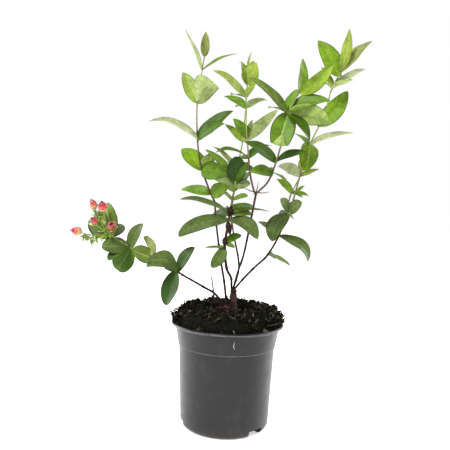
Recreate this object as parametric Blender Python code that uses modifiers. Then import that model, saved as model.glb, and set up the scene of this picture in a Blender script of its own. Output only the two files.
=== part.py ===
"""A berried St John's wort in its nursery pot: pot, compost, woody stump, thin limbs and leafy shoots.

Metres, +Z up, the front of the plant towards -Y. The origin is the centre of the pot's flat underside.
The sizes below are in millimetres and degrees."""

import math
import random

import bmesh
import bpy
from mathutils import Matrix, Vector, noise
from mathutils.bvhtree import BVHTree

MM = 0.001
GAP = 0.3

# Pot: an injection-moulded 12 cm nursery pot
POT_HEIGHT = 111.0
POT_WALL = 1.2
FOOT_RADIUS = 47.3
FOOT_ROUNDING = 6.0
COLLAR_FOOT = 87.0
BODY_TOP_RADIUS = 51.3
COLLAR_STEP = 0.9
COLLAR_TOP = 106.0
COLLAR_TOP_RADIUS = 55.6
LIP_RADIUS = 60.0
LIP_ROLL = 1.6
POT_SIDES = 40
NOTCH_TURNS = (44, 164, 284)
NOTCH_WIDTH = 18.0
NOTCH_HEIGHT = 7.5
NOTCH_INNER_HEIGHT = 2.4
NOTCH_DEPTH = 17.0

# Compost: heaped over the rim, with a level seat for the stump
HEAP_HEIGHT = 124.0
HEAP_SHOULDER = 48.5
HEAP_EDGE = 2.2
SEAT_HEIGHT = 120.0
SEAT_RADIUS = 12.5
SOIL_SIDES = 32
SOIL_LUMP = 1.6
CLODS = 26
CLOD_RADIUS = (2.6, 5.2)
SPILL_REACH = 5.5

# Stump: a short trunk with a flared foot, cut level where the limbs rise
STUMP_PLACE = (5.2, -3.0)
STUMP_TOP_PLACE = (5.0, -0.8)
STUMP_TOP = 146.0
STUMP_TOP_RADIUS = 3.5
STUMP_RADIUS = 3.7
FLARE_RADIUS = 8.0
FLARE_HEIGHT = 10.0
FORK_RING = 2.2
FORK_LIFT = 1.0
LIMB_LIFT = 0.5

# Leaves
LEAF_THICKNESS = 0.6
LEAF_EASE = 0.6
LEAF_STALK = 1.0
LEAF_SINK = 0.4
LEAF_ROWS = 4
SHORT_LEAF = 40.0
SHORT_LEAF_ROWS = 3
LEAF_ROW_EASE = 1.3
LEAF_FOLD = 0.22
TWIG_SPACING = 14
REAR_LEAN = -62
REAR_SHARE = 0.85
REAR_FROM = 26.0
HUSK_SINK = 0.42


def fork(turn):
    """Where a limb starts: on a ring just above the stump's top, the turn counted from +X."""
    angle = math.radians(turn)
    x = STUMP_TOP_PLACE[0] + FORK_RING * math.cos(angle)
    y = STUMP_TOP_PLACE[1] + FORK_RING * math.sin(angle)
    return (x, y, STUMP_TOP + FORK_LIFT)


# Limbs: each bare limb's route from its foot, then its radius at the foot and at the tip. A foot with no
# height stands on the compost.
BOUGHS = {
    "bough_low": ([(-6, -9.5), (-6.5, -9, 129), (-14, -11, 141), (-27, -14, 149), (-50, -19, 162)], 1.4, 1.1),
    "bough_tall_left": (
        [(-5, -1), (-2.5, -2, 130), (-5, 4, 151), (-10, 9, 176), (-16, 16, 212), (-19, 21, 238)], 1.4, 1.0
    ),
    "bough_centre_front": ([fork(180), (2, -5, 158), (-3, -8, 168), (-6, -11, 186)], 1.2, 1.6),
    "bough_centre_back": ([fork(90), (8.5, 6, 157), (10, 14, 173), (3, 24, 204)], 1.2, 1.0),
    "bough_middle": ([fork(270), (9, -9, 166), (15, -13, 189), (24, -21, 249)], 1.2, 1.1),
    "bough_right": ([fork(0), (17, 5, 158), (27, 10, 168), (39, 13, 179)], 1.2, 1.2),
    "dead_twig": ([(-13.5, 1.5), (-17, 5, 145), (-19, 8, 156)], 0.6, 0.4),
}


# Leaf forms: the width as a share of the length
FORMS = {"thin": 0.18, "slim": 0.27, "leaf": 0.37, "oval": 0.47, "broad": 0.60, "round": 0.75}

# How much of its upper face a leaf shows to the front, in degrees; below zero it shows its underside
SHOWS = {"face": 80, "open": 50, "half": 35, "low": 20, "edge": 5, "under": -25, "belly": -60}

# Where along its length a leaf is widest, by age
WIDEST = {"young": 0.4, "old": 0.5}

# Shoots: the twig's age, its route, its radius at the foot and at the tip, and its nodes from the foot up.
# A node is the distance along the twig and its leaves, each as length, form, heading, lean, what it shows
# and, where it is arched, how far its middle rises. The heading runs anticlockwise from the right as seen
# from the front, and the lean is how far the leaf points to the front.
SHOOTS = {
    "leaves_tall_left": (
        "young",
        [(-20, 22, 240), (-26, 24, 252), (-36, 27, 278), (-41, 31, 307), (-43, 34, 348), (-39, 36, 384),
         (-36, 37, 405)],
        (1.0, 0.6),
        [
            (7, (38, "leaf", 173, -20, "open", 2), (27, "broad", 27, 35, "face", 1)),
            (35, (41, "broad", 132, -25, "open"), (31, "oval", 68, -30, "open")),
            (37, (38, "broad", -11, 35, "face", 1), (27, "broad", 50, -25, "belly")),
            (71, (58, "slim", 161, 10, "under", 6), (39, "oval", 30, 30, "open", 2)),
            (72, (51, "leaf", 41, 5, "open", 1), (36, "oval", 120, -65, "half")),
            (112, (46, "leaf", 116, -20, "face"), (37, "round", 27, 40, "belly", 12)),
            (149, (48, "thin", 115, 10, "under"), (44, "thin", 27, 5, "half", 2)),
            (165, (27, "leaf", 88, 15, "face"), (27, "leaf", 84, -12, "open")),
        ],
    ),
    "leaves_centre_front": (
        "old",
        [(-6, -11, 186.5), (-6, -12, 195), (-3, -14, 221), (0, -15, 241), (3, -16, 262)],
        (1.6, 0.9),
        [
            (4, (28, "oval", -123, 35, "face", -2), (22, "thin", 179, 20, "half")),
            (9, (22, "oval", 29, -25, "open"), (13, "oval", -20, 30, "open")),
            (34, (55, "slim", -161, 10, "face", 4), (39, "oval", -30, 25, "open", 6)),
            (39, (55, "slim", 164, 15, "low", 5), (25, "broad", 5, -15, "half", 1)),
            (41, (51, "thin", 4, -30, "low", 1),),
            (55, (15, "oval", 142, 30, "half"), (21, "oval", 16, 40, "half")),
            (69, (17, "round", 161, 10, "open", 1), (17, "round", 13, 15, "open")),
            (71, (50, "slim", 132, -12, "half", 3),),
            (74, (27, "round", 90, 20, "face"), (28, "slim", 60, 35, "face")),
        ],
    ),
    "leaves_centre_back": (
        "young",
        [(3, 24, 204.5), (0, 28, 224), (2, 31, 250), (5, 31, 280), (9, 28, 303), (11, 24, 335),
         (11, 22, 356)],
        (1.0, 0.6),
        [
            (22, (43, "leaf", -157, -45, "half", 2), (48, "leaf", 17, -50, "half", 2)),
            (46, (40, "oval", 148, -40, "half", 2), (50, "leaf", 50, -45, "half", 2)),
            (72, (40, "slim", 136, -15, "half"), (23, "round", 0, -20, "half", 2)),
            (103, (33, "leaf", 134, -25, "open"), (56, "slim", 43, 30, "belly", -2)),
            (151, (50, "leaf", 147, 30, "half", 1), (27, "oval", 61, -20, "half")),
        ],
    ),
    "leaves_middle_left": (
        "young",
        [(22, -20, 250), (18, -19, 264), (15, -16, 285), (11, -10, 326), (11, -5, 360), (11, -3, 380)],
        (1.0, 0.6),
        [
            (35, (38, "leaf", 172, 25, "low", 4), (38, "leaf", 35, -35, "half", 2)),
            (56, (28, "broad", 124, -15, "open"), (29, "leaf", 78, -35, "half")),
            (88, (32, "leaf", 148, -25, "open", 2), (29, "leaf", 17, 40, "under", 3)),
            (114, (25, "oval", 110, 30, "open"), (25, "round", 68, 30, "face")),
            (119, (26, "leaf", 111, -25, "low", 2), (25, "broad", 76, -20, "open")),
            (128, (21, "thin", 82, 0, "half"),),
        ],
    ),
    "leaves_middle_right": (
        "young",
        [(26, -22, 250), (37, -26, 264), (46, -35, 297), (51, -41, 328), (62, -40, 350)],
        (1.0, 0.6),
        [
            (25, (27, "broad", 180, 30, "open"), (24, "oval", -38, 40, "low", 1)),
            (37, (42, "leaf", 152, 30, "open", 1), (35, "leaf", 16, 25, "half", 2)),
            (85, (54, "slim", 142, 20, "open"), (40, "leaf", -54, 30, "open", 3)),
            (86, (39, "broad", -104, 20, "face"), (46, "oval", -15, 30, "belly", 2)),
            (89, (29, "broad", 73, -30, "half"), (41, "oval", 13, 20, "open", 1)),
            (108, (44, "leaf", 42, 25, "face", -3), (41, "leaf", 83, -20, "open")),
        ],
    ),
    "leaves_right_low": (
        "old",
        [(39.5, 13, 179.5), (48, 16, 193), (55, 18, 208), (64, 22, 231)],
        (1.2, 1.0),
        [
            (4, (28, "leaf", -24, 20, "low"),),
            (28, (41, "oval", -27, 20, "half", 1), (40, "slim", 148, -50, "half", 1)),
            (54, (37, "broad", -122, 20, "open", 4), (13, "round", -25, -50, "half")),
            (57, (19, "round", 126, 20, "open"), (20, "round", 44, 35, "open")),
        ],
    ),
    "leaves_right_inner": (
        "young",
        [(63, 26, 233), (65, 27, 248), (75, 32, 269), (79, 35, 279)],
        (0.9, 0.5),
        [
            (18, (25, "oval", 135, -20, "open", 1), (22, "leaf", -5, -10, "half", 1)),
            (20, (18, "oval", -20, -30, "half"),),
            (40, (34, "leaf", 160, 30, "belly", 4), (26, "leaf", 24, -15, "half")),
            (48, (23, "broad", 75, -30, "open"), (36, "leaf", 95, -45, "half")),
        ],
    ),
    "leaves_right_outer": (
        "young",
        [(67, 23, 234), (69, 20, 250), (81, 14, 300), (89, 5, 322), (96, 2, 342), (100, -1, 361),
         (108, -6, 378)],
        (1.0, 0.6),
        [
            (15, (17, "leaf", 50, 30, "half"),),
            (70, (28, "oval", 133, -35, "half", 1), (50, "slim", 16, 20, "under", 4)),
            (72, (34, "broad", -99, 25, "face"),),
            (94, (54, "leaf", 53, -10, "face", -2), (23, "broad", 142, -40, "half")),
            (135, (30, "leaf", 112, -20, "open"), (39, "leaf", 33, 15, "under")),
            (137, (25, "leaf", 17, 40, "under"),),
            (149, (46, "oval", 119, -10, "face", 1), (47, "thin", 99, -35, "open")),
            (155, (43, "slim", 84, 20, "face", -2), (43, "slim", 49, 15, "open")),
            (156, (46, "thin", 58, -20, "half"),),
        ],
    ),
    "leaves_low": (
        "old",
        [(-50.5, -19, 162.5), (-80, -25, 178), (-104, -29, 190), (-122, -31, 201)],
        (1.0, 0.8),
        [
            (3, (34, "broad", 165, 20, "open", 8), (32, "oval", 61, -15, "open", 1)),
            (6, (37, "broad", -104, 15, "open", -1), (20, "oval", 55, -45, "half")),
            (33, (25, "round", 154, 30, "open"), (25, "leaf", 120, -25, "belly", 8)),
            (57, (30, "round", -123, -10, "face"), (28, "broad", 70, -15, "open", 2)),
            (61, (27, "round", 180, 25, "open", -1), (27, "broad", -142, 40, "half")),
            (79, (38, "broad", 111, -20, "face", 1), (22, "broad", -107, -40, "half")),
            (78, (44, "round", 141, -38, "face", 1),),
        ],
    ),
}

# Dried seed capsules on the twigs, each as the distance along the twig, length, width, heading and lean
HUSKS = {"leaves_centre_front": [(38, 13, 6.2, 82, 20), (31, 15, 6.2, -78, 25), (15, 10, 4.8, -105, 30)]}

# Berries: the stalks' common root, then each berry's place and size, long and wide
BERRY_ROOT = (-123, -34, 202.5)
BERRY_STALK = 0.7
BERRIES = [
    ((-139, -34, 231), 9.5, 7.5),
    ((-129, -37, 229), 10.5, 9.5),
    ((-136.5, -40, 215), 10.0, 7.0),
    ((-118.5, -42, 211), 10.0, 8.5),
    ((-155.5, -33, 203.5), 10.5, 9.0),
    ((-148, -30, 198), 7.5, 4.5),
]

COLOURS = {
    "pot": (0.062, 0.062, 0.066, 0.45, 0.0),
    "soil": (0.020, 0.015, 0.011, 0.95, 0.0),
    "bark": (0.120, 0.062, 0.038, 0.80, 0.0),
    "twig": (0.150, 0.105, 0.052, 0.70, 0.0),
    "leaf": (0.130, 0.270, 0.055, 0.50, 0.0),
    "leaf_old": (0.060, 0.150, 0.045, 0.50, 0.0),
    "berry": (0.640, 0.110, 0.080, 0.35, 0.0),
}


def clear_scene():
    for obj in list(bpy.data.objects):
        bpy.data.objects.remove(obj)


def new_collection(name):
    collection = bpy.data.collections.new(name)
    bpy.context.scene.collection.children.link(collection)
    return collection


def material(name):
    """A plain finish: red, green, blue, roughness and metallic."""
    red, green, blue, roughness, metallic = COLOURS[name]
    made = bpy.data.materials.new(name)
    made.use_nodes = True
    shader = made.node_tree.nodes["Principled BSDF"]
    shader.inputs["Base Color"].default_value = (red, green, blue, 1.0)
    shader.inputs["Roughness"].default_value = roughness
    shader.inputs["Metallic"].default_value = metallic
    return made


def add_object(name, mesh, collection, finish):
    obj = bpy.data.objects.new(name, mesh)
    collection.objects.link(obj)
    obj.data.materials.clear()
    obj.data.materials.append(material(finish))
    return obj


def evaluated_mesh(obj):
    """The object's mesh with its modifiers applied and its loose caps welded."""
    graph = bpy.context.evaluated_depsgraph_get()
    mesh = bpy.data.meshes.new_from_object(obj.evaluated_get(graph))
    shape = bmesh.new()
    shape.from_mesh(mesh)
    bmesh.ops.remove_doubles(shape, verts=shape.verts, dist=1e-6)
    bmesh.ops.recalc_face_normals(shape, faces=shape.faces)
    shape.to_mesh(mesh)
    shape.free()
    return mesh


def turned(name, profile, sides, collection, finish):
    """A profile of (radius, height) points from the axis and back to it, turned about Z."""
    mesh = bpy.data.meshes.new(name)
    points = [(radius * MM, 0.0, height * MM) for radius, height in profile]
    mesh.from_pydata(points, [(i, i + 1) for i in range(len(points) - 1)], [])
    obj = add_object(name, mesh, collection, finish)
    screw = obj.modifiers.new("Turn", "SCREW")
    screw.axis = "Z"
    screw.steps = sides
    screw.render_steps = sides
    screw.use_merge_vertices = True
    screw.merge_threshold = 1e-5
    bpy.context.view_layer.update()
    obj.data = evaluated_mesh(obj)
    obj.modifiers.clear()
    return obj


def arc(centre, radius, start, end, steps):
    """Points of (radius, height) along an arc, from one angle to another."""
    angles = [math.radians(start + (end - start) * i / steps) for i in range(steps + 1)]
    return [(centre[0] + radius * math.cos(a), centre[1] + radius * math.sin(a)) for a in angles]


def pot_inner_radius(height):
    """The inside of the pot's wall at a height above its rounded foot."""
    if height < COLLAR_FOOT:
        share = (height - FOOT_ROUNDING) / (COLLAR_FOOT - FOOT_ROUNDING)
        return FOOT_RADIUS + (BODY_TOP_RADIUS - FOOT_RADIUS) * share - POT_WALL
    share = (height - COLLAR_FOOT) / (COLLAR_TOP - COLLAR_FOOT)
    collar_foot_radius = BODY_TOP_RADIUS + COLLAR_STEP
    return collar_foot_radius + (COLLAR_TOP_RADIUS - collar_foot_radius) * min(share, 1.0) - POT_WALL


def build_pot(collection, cutters):
    foot_flat = FOOT_RADIUS - FOOT_ROUNDING
    roll_centre = (LIP_RADIUS - LIP_ROLL, POT_HEIGHT - LIP_ROLL)
    outside = [(0, 0)]
    outside += arc((foot_flat, FOOT_ROUNDING), FOOT_ROUNDING, -90, 0, 5)
    outside += [
        (BODY_TOP_RADIUS, COLLAR_FOOT),
        (BODY_TOP_RADIUS + COLLAR_STEP, COLLAR_FOOT + COLLAR_STEP),
        (COLLAR_TOP_RADIUS, COLLAR_TOP),
        (roll_centre[0], roll_centre[1] - LIP_ROLL),
    ]
    outside += arc(roll_centre, LIP_ROLL, -45, 90, 3)
    inside = [
        (pot_inner_radius(COLLAR_TOP) + POT_WALL, POT_HEIGHT),
        (pot_inner_radius(COLLAR_TOP), COLLAR_TOP),
        (pot_inner_radius(COLLAR_FOOT), COLLAR_FOOT),
    ]
    inside += arc((foot_flat, FOOT_ROUNDING), FOOT_ROUNDING - POT_WALL, 0, -90, 3)
    inside += [(0, POT_WALL)]
    pot = turned("pot", (outside + inside)[::-1], POT_SIDES, collection, "pot")
    cut_notches(pot, 0, cutters)
    pot.data.shade_smooth()
    pot.data.set_sharp_from_angle(angle=math.radians(35))
    return pot


def cut_notches(obj, clearance, cutters):
    """Drain notches through the foot, each higher at the wall than inside and larger by the clearance."""
    for turn in NOTCH_TURNS:
        notch = notch_cutter(turn, clearance, cutters)
        cut = obj.modifiers.new(f"Notch {turn}", "BOOLEAN")
        cut.operation = "DIFFERENCE"
        cut.object = notch
    bpy.context.view_layer.update()
    obj.data = evaluated_mesh(obj)
    obj.modifiers.clear()


def notch_cutter(turn, clearance, cutters):
    """The wedge that cuts one notch. The turn is counted from the front, to the right."""
    mesh = bpy.data.meshes.new("notch")
    shape = bmesh.new()
    bmesh.ops.create_cube(shape, size=2.0)
    for vertex in shape.verts:
        inner = vertex.co.y > 0
        height = (NOTCH_INNER_HEIGHT if inner else NOTCH_HEIGHT) + clearance
        reach = NOTCH_DEPTH + clearance if inner else 0
        vertex.co = Vector((vertex.co.x * (NOTCH_WIDTH / 2 + clearance), reach, vertex.co.z * height)) * MM
    shape.to_mesh(mesh)
    shape.free()
    notch = bpy.data.objects.new(f"notch_{turn}_{clearance}", mesh)
    cutters.objects.link(notch)
    angle = math.radians(turn)
    mouth = (FOOT_RADIUS + 1) * MM
    notch.location = (math.sin(angle) * mouth, -math.cos(angle) * mouth, 0)
    notch.rotation_euler = (0, 0, angle)
    notch.hide_render = True
    notch.display_type = "WIRE"
    return notch


def heap_height(x, y):
    """The height of the compost's surface, without its clods."""
    radius = math.hypot(x, y)
    rim = pot_inner_radius(COLLAR_TOP)
    if radius <= HEAP_SHOULDER:
        height = HEAP_HEIGHT
    else:
        share = (radius - HEAP_SHOULDER) / (rim - HEAP_SHOULDER)
        height = HEAP_HEIGHT - (HEAP_HEIGHT - POT_HEIGHT) * share**HEAP_EDGE
    from_stump = math.hypot(x - STUMP_PLACE[0], y - STUMP_PLACE[1])
    sink = min(max((from_stump - SEAT_RADIUS) / SEAT_RADIUS, 0.0), 1.0)
    lump = SOIL_LUMP * noise.noise(Vector((x, y, 0)) * 0.16) * sink
    return SEAT_HEIGHT + (height - SEAT_HEIGHT) * sink + lump


def build_soil(collection, cutters):
    rim = pot_inner_radius(COLLAR_TOP) - GAP
    floor = POT_WALL + GAP
    rounding = FOOT_ROUNDING - POT_WALL - GAP
    profile = [(0, floor)]
    profile += arc((FOOT_RADIUS - FOOT_ROUNDING, FOOT_ROUNDING), rounding, -90, 0, 2)
    profile += [
        (pot_inner_radius(COLLAR_FOOT) - GAP, COLLAR_FOOT),
        (rim, COLLAR_TOP),
        (rim, POT_HEIGHT - 1),
    ]
    top_radii = [rim - 2, rim - 6, 41, 32, 23, SEAT_RADIUS + 3, 7, 0]
    profile += [(radius, HEAP_HEIGHT) for radius in top_radii]
    soil = turned("soil", profile[::-1], SOIL_SIDES, collection, "soil")
    for vertex in soil.data.vertices:
        if vertex.co.z > (POT_HEIGHT + 1) * MM:
            vertex.co.z = heap_height(vertex.co.x / MM, vertex.co.y / MM) * MM
    cut_notches(soil, GAP, cutters)
    fuse(soil, [clod(i) for i in range(CLODS)])
    return soil


def clod(number):
    """One lump of compost half sunk in the heap; every third lies on the rim to the right or the back."""
    rng = random.Random(f"clod {number}")
    size = rng.uniform(*CLOD_RADIUS)
    if number % 3:
        angle = rng.uniform(0, 2 * math.pi)
        reach = rng.uniform(SEAT_RADIUS + 8, pot_inner_radius(COLLAR_TOP) - 4 - size)
    else:
        angle = rng.uniform(-0.7, 0.5) + (math.pi if number % 2 else 0.0)
        reach = pot_inner_radius(COLLAR_TOP) - size + rng.uniform(0, SPILL_REACH)
    x = reach * math.cos(angle)
    y = reach * math.sin(angle)
    height = max(heap_height(x, y), POT_HEIGHT + GAP + size * 0.95)
    mesh = bpy.data.meshes.new("clod")
    shape = bmesh.new()
    bmesh.ops.create_icosphere(shape, subdivisions=1, radius=size * MM)
    for vertex in shape.verts:
        vertex.co *= rng.uniform(0.75, 1.0)
        vertex.co.z *= 0.8
    bmesh.ops.translate(shape, vec=Vector((x, y, height)) * MM, verts=shape.verts)
    shape.to_mesh(mesh)
    shape.free()
    return mesh


def fuse(obj, meshes):
    """One union of the object with all the meshes, kept as its one outer body."""
    helpers = bpy.data.collections.new("fused")
    bpy.context.scene.collection.children.link(helpers)
    for mesh in meshes:
        helpers.objects.link(bpy.data.objects.new("fused", mesh))
    union = obj.modifiers.new("Fuse", "BOOLEAN")
    union.operation = "UNION"
    union.operand_type = "COLLECTION"
    union.collection = helpers
    union.solver = "MANIFOLD"
    bpy.context.view_layer.update()
    obj.data = evaluated_mesh(obj)
    obj.modifiers.clear()
    for helper in list(helpers.objects):
        bpy.data.objects.remove(helper)
    bpy.data.collections.remove(helpers)
    keep_outer_body(obj.data)


def keep_outer_body(mesh):
    """Drops loose scraps and the walls of sealed hollows, which leaves the hollows filled."""
    shape = bmesh.new()
    shape.from_mesh(mesh)
    shape.faces.ensure_lookup_table()
    bodies = []
    seen = set()
    for start in shape.faces:
        if start in seen:
            continue
        body = [start]
        seen.add(start)
        for face in body:
            for edge in face.edges:
                for near in edge.link_faces:
                    if near not in seen:
                        seen.add(near)
                        body.append(near)
        bodies.append(body)
    largest = max(bodies, key=len)
    scraps = [face for body in bodies if body is not largest for face in body]
    bmesh.ops.delete(shape, geom=scraps, context="FACES")
    bmesh.ops.triangulate(shape, faces=shape.faces)
    shape.to_mesh(mesh)
    shape.free()


def centre_line(route):
    """A smooth line through the route's points, as closely spaced vectors in millimetres."""
    points = [Vector(p) for p in route]
    points = [2 * points[0] - points[1]] + points + [2 * points[-1] - points[-2]]
    line = []
    for before, start, end, after in zip(points, points[1:], points[2:], points[3:]):
        for step in range(8):
            t = step / 8
            line.append(
                0.5
                * (
                    2 * start
                    + (end - before) * t
                    + (2 * before - 5 * start + 4 * end - after) * t**2
                    + (3 * start - before - 3 * end + after) * t**3
                )
            )
    line.append(points[-2])
    return line


def along_line(line, distance):
    """The place at this distance from the line's start, and the line's direction there."""
    for start, end in zip(line, line[1:]):
        length = (end - start).length
        if distance <= length:
            return start.lerp(end, distance / length), (end - start).normalized()
        distance -= length
    return line[-1].copy(), (line[-1] - line[-2]).normalized()


def line_length(line):
    return sum((end - start).length for start, end in zip(line, line[1:]))


def tube(line, radii, spacing, resolution=1):
    """A tapering round limb along the line, from its radius at the foot to its radius at the tip."""
    curve = bpy.data.curves.new("limb", "CURVE")
    curve.dimensions = "3D"
    curve.bevel_depth = MM
    curve.bevel_resolution = resolution
    curve.use_fill_caps = True
    spline = curve.splines.new("POLY")
    length = line_length(line)
    steps = max(2, round(length / spacing))
    spline.points.add(steps)
    for step, point in enumerate(spline.points):
        place, _ = along_line(line, length * step / steps)
        point.co = (*(place * MM), 1.0)
        point.radius = radii(step / steps)
    obj = bpy.data.objects.new("limb", curve)
    bpy.context.scene.collection.objects.link(obj)
    bpy.context.view_layer.update()
    mesh = evaluated_mesh(obj)
    bpy.data.objects.remove(obj)
    return mesh


def even_taper(foot, tip):
    return lambda share: foot + (tip - foot) * share


def stump_radius(share):
    """The stump's radius from its foot to its top: a wide flare that narrows into a short trunk."""
    flare = max(0.0, 1.0 - share * (STUMP_TOP - SEAT_HEIGHT) / FLARE_HEIGHT)
    body = STUMP_RADIUS + (STUMP_TOP_RADIUS - STUMP_RADIUS) * share
    return body + (FLARE_RADIUS - STUMP_RADIUS) * flare**2


def build_stump(collection):
    foot = (*STUMP_PLACE, SEAT_HEIGHT + 2 * GAP)
    middle = (STUMP_PLACE[0], STUMP_PLACE[1], SEAT_HEIGHT + FLARE_HEIGHT)
    top = (*STUMP_TOP_PLACE, STUMP_TOP)
    below_top = (*STUMP_TOP_PLACE, STUMP_TOP - 4)
    line = centre_line([foot, middle, below_top, top])
    return add_object("stump", tube(line, stump_radius, 3.2, 3), collection, "bark")


def pointing(heading, lean):
    """The direction that has this heading as seen from the front and leans this far to the front."""
    heading = math.radians(heading)
    lean = math.radians(lean)
    return Vector((math.cos(lean) * math.cos(heading), -math.sin(lean), math.cos(lean) * math.sin(heading)))


class Leaf:
    """One blade: its root and frame, and the seeded bends that make no two alike."""

    def __init__(self, key, root, stem, age, length, form, heading, lean, show, bow=0):
        rng = random.Random(key)
        show = math.radians(SHOWS[show] + rng.uniform(-3, 3))
        self.out = pointing(heading, lean)
        self.root = root - self.out * LEAF_SINK
        self.length = length
        self.width = length * FORMS[form]
        self.widest = WIDEST[age]
        front = Vector((0, -1, 0))
        front = (front - self.out * front.dot(self.out)).normalized()
        rise = self.out.cross(front)
        if rise.dot(stem + Vector((0, 0, 1))) < 0:
            rise = -rise
        self.upper = front * math.sin(show) + rise * math.cos(show)
        self.side = self.out.cross(self.upper)
        sky = Vector((0.01, 0, 1))
        self.bow = (sky - self.out * sky.dot(self.out)).normalized() * bow
        self.arch = length * rng.uniform(0.01, 0.04)
        self.sweep = length * rng.uniform(-0.02, 0.02)
        self.twist = math.radians(rng.uniform(-10, 10))

    def half_width(self, along):
        drop = LEAF_EASE * (1 - self.widest) / self.widest
        peak = self.widest**LEAF_EASE * (1 - self.widest) ** drop
        blade = self.width / 2 * along**LEAF_EASE * (1 - along) ** drop / peak
        stalk = LEAF_STALK / 2 * (1 - along) ** 3
        return max(blade, stalk)

    def point(self, along, across):
        """A point of the blade: along runs 0 to 1 from root to tip, across -1 to 1 from edge to edge."""
        reach = self.half_width(along) * across
        bend = 4 * along * (1 - along)
        spin = self.twist * (along - 0.5)
        fold = abs(reach) * LEAF_FOLD
        return (
            self.root
            + self.out * (self.length * along)
            + self.bow * bend
            + self.upper * (self.arch * bend + fold + reach * math.sin(spin))
            + self.side * (self.sweep * bend + reach * math.cos(spin))
        )


def leaf_mesh(leaf):
    """The blade as a thin solid: a grid bent to the leaf's shape and thickened."""
    mesh = bpy.data.meshes.new("leaf")
    shape = bmesh.new()
    rows = LEAF_ROWS if leaf.length > SHORT_LEAF else SHORT_LEAF_ROWS
    bmesh.ops.create_grid(shape, x_segments=2, y_segments=rows, size=1.0)
    for vertex in shape.verts:
        along = ((vertex.co.y + 1) / 2) ** LEAF_ROW_EASE
        vertex.co = leaf.point(min(max(along, 0.0), 1.0), vertex.co.x) * MM
    bmesh.ops.remove_doubles(shape, verts=shape.verts, dist=1e-6)
    shape.to_mesh(mesh)
    shape.free()
    obj = bpy.data.objects.new("leaf", mesh)
    bpy.context.scene.collection.objects.link(obj)
    thick = obj.modifiers.new("Thickness", "SOLIDIFY")
    thick.thickness = LEAF_THICKNESS * MM
    thick.offset = 0.0
    bpy.context.view_layer.update()
    solid = evaluated_mesh(obj)
    bpy.data.objects.remove(obj)
    return solid


def tree_of(mesh, grow=0.0):
    """A search tree of the mesh, swollen along its normals by grow millimetres."""
    points = [vertex.co + vertex.normal * grow * MM for vertex in mesh.vertices]
    return BVHTree.FromPolygons(points, [tuple(face.vertices) for face in mesh.polygons])


def whorl_of(number, leaves):
    """A node's leaves. At every second node one more points to the back, behind a first leaf that hides it."""
    length, form, heading = leaves[0][:3]
    if number % 2 or length < REAR_FROM or form == "thin":
        return leaves
    return [*leaves, (length * REAR_SHARE, form, heading, REAR_LEAN, "half")]


def twig_mesh(name):
    _, route, radii, _ = SHOOTS[name]
    return tube(centre_line(route), even_taper(*radii), TWIG_SPACING, 0)


def egg_mesh(place, out, length, width):
    """A berry or capsule: an egg shape round its place whose narrow end points out."""
    mesh = bpy.data.meshes.new("egg")
    shape = bmesh.new()
    bmesh.ops.create_uvsphere(shape, u_segments=8, v_segments=6, radius=0.5)
    for vertex in shape.verts:
        share = vertex.co.z + 0.5
        narrow = 1.0 - 0.35 * max(0.0, share - 0.5)
        girth = width * narrow
        vertex.co = Vector((vertex.co.x * girth, vertex.co.y * girth, vertex.co.z * length)) * MM
    turn = Vector((0, 0, 1)).rotation_difference(out).to_matrix()
    bmesh.ops.rotate(shape, cent=Vector(), matrix=turn, verts=shape.verts)
    bmesh.ops.translate(shape, vec=place * MM, verts=shape.verts)
    shape.to_mesh(mesh)
    shape.free()
    return mesh


def grow_husks(name, placed):
    _, route, _, _ = SHOOTS[name]
    husks = []
    for distance, length, width, heading, lean in HUSKS.get(name, []):
        root, _ = along_line(centre_line(route), distance)
        out = pointing(heading, lean)
        husks.append(egg_mesh(root + out * length * HUSK_SINK, out, length, width))
        placed.append((name, tree_of(husks[-1])))
    return husks


def grow_leaves(name, limbs, placed):
    """The shoot's leaves. One that would touch a limb, a berry or another shoot is left out."""
    age, route, _, nodes = SHOOTS[name]
    line = centre_line(route)
    leaves = []
    for number, (distance, *pair) in enumerate(nodes):
        root, stem = along_line(line, distance)
        for side, settings in enumerate(whorl_of(number, pair)):
            key = f"{name} {number} {side}"
            mesh = leaf_mesh(Leaf(key, root, stem, age, *settings))
            grown = tree_of(mesh, GAP)
            touched = [other for other, tree in limbs + placed if other != name and tree.overlap(grown)]
            if not touched:
                leaves.append(mesh)
                placed.append((name, tree_of(mesh)))
    return leaves


def build_shoots(collection, limbs):
    twigs = {name: twig_mesh(name) for name in SHOOTS}
    limbs = limbs + [(name, tree_of(twig)) for name, twig in twigs.items()]
    placed = []
    for name, twig in twigs.items():
        husks = grow_husks(name, placed)
        leaves = grow_leaves(name, limbs, placed)
        finish = "leaf_old" if SHOOTS[name][0] == "old" else "leaf"
        obj = add_object(name, twig, collection, finish)
        fuse(obj, husks + leaves)


def limb_route(route, foot_radius, soil_tree):
    """The limb's route, its foot set down just clear of the compost where the table gives it no height."""
    if len(route[0]) == 3:
        return route
    x, y = route[0]
    surface = soil_tree.ray_cast(Vector((x, y, 2 * POT_HEIGHT)) * MM, Vector((0, 0, -1)))[0].z / MM
    return [(x, y, surface + GAP + LIMB_LIFT * foot_radius), *route[1:]]


def build_boughs(collection, soil):
    soil_tree = tree_of(soil.data)
    made = []
    for name, (route, foot, tip) in BOUGHS.items():
        line = centre_line(limb_route(route, foot, soil_tree))
        mesh = tube(line, even_taper(foot, tip), 11)
        made.append(add_object(name, mesh, collection, "bark"))
    return made


def build_berries(collection):
    root = Vector(BERRY_ROOT)
    parts = []
    for place, length, width in BERRIES:
        place = Vector(place)
        bend = root.lerp(place, 0.5) + Vector((0, 0, -3))
        line = centre_line([root, bend, place])
        parts.append(tube(line, even_taper(BERRY_STALK, BERRY_STALK), 8))
        parts.append(egg_mesh(place, (place - bend).normalized(), length, width))
    obj = add_object("berries", parts[0], collection, "berry")
    fuse(obj, parts[1:])
    return obj


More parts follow.
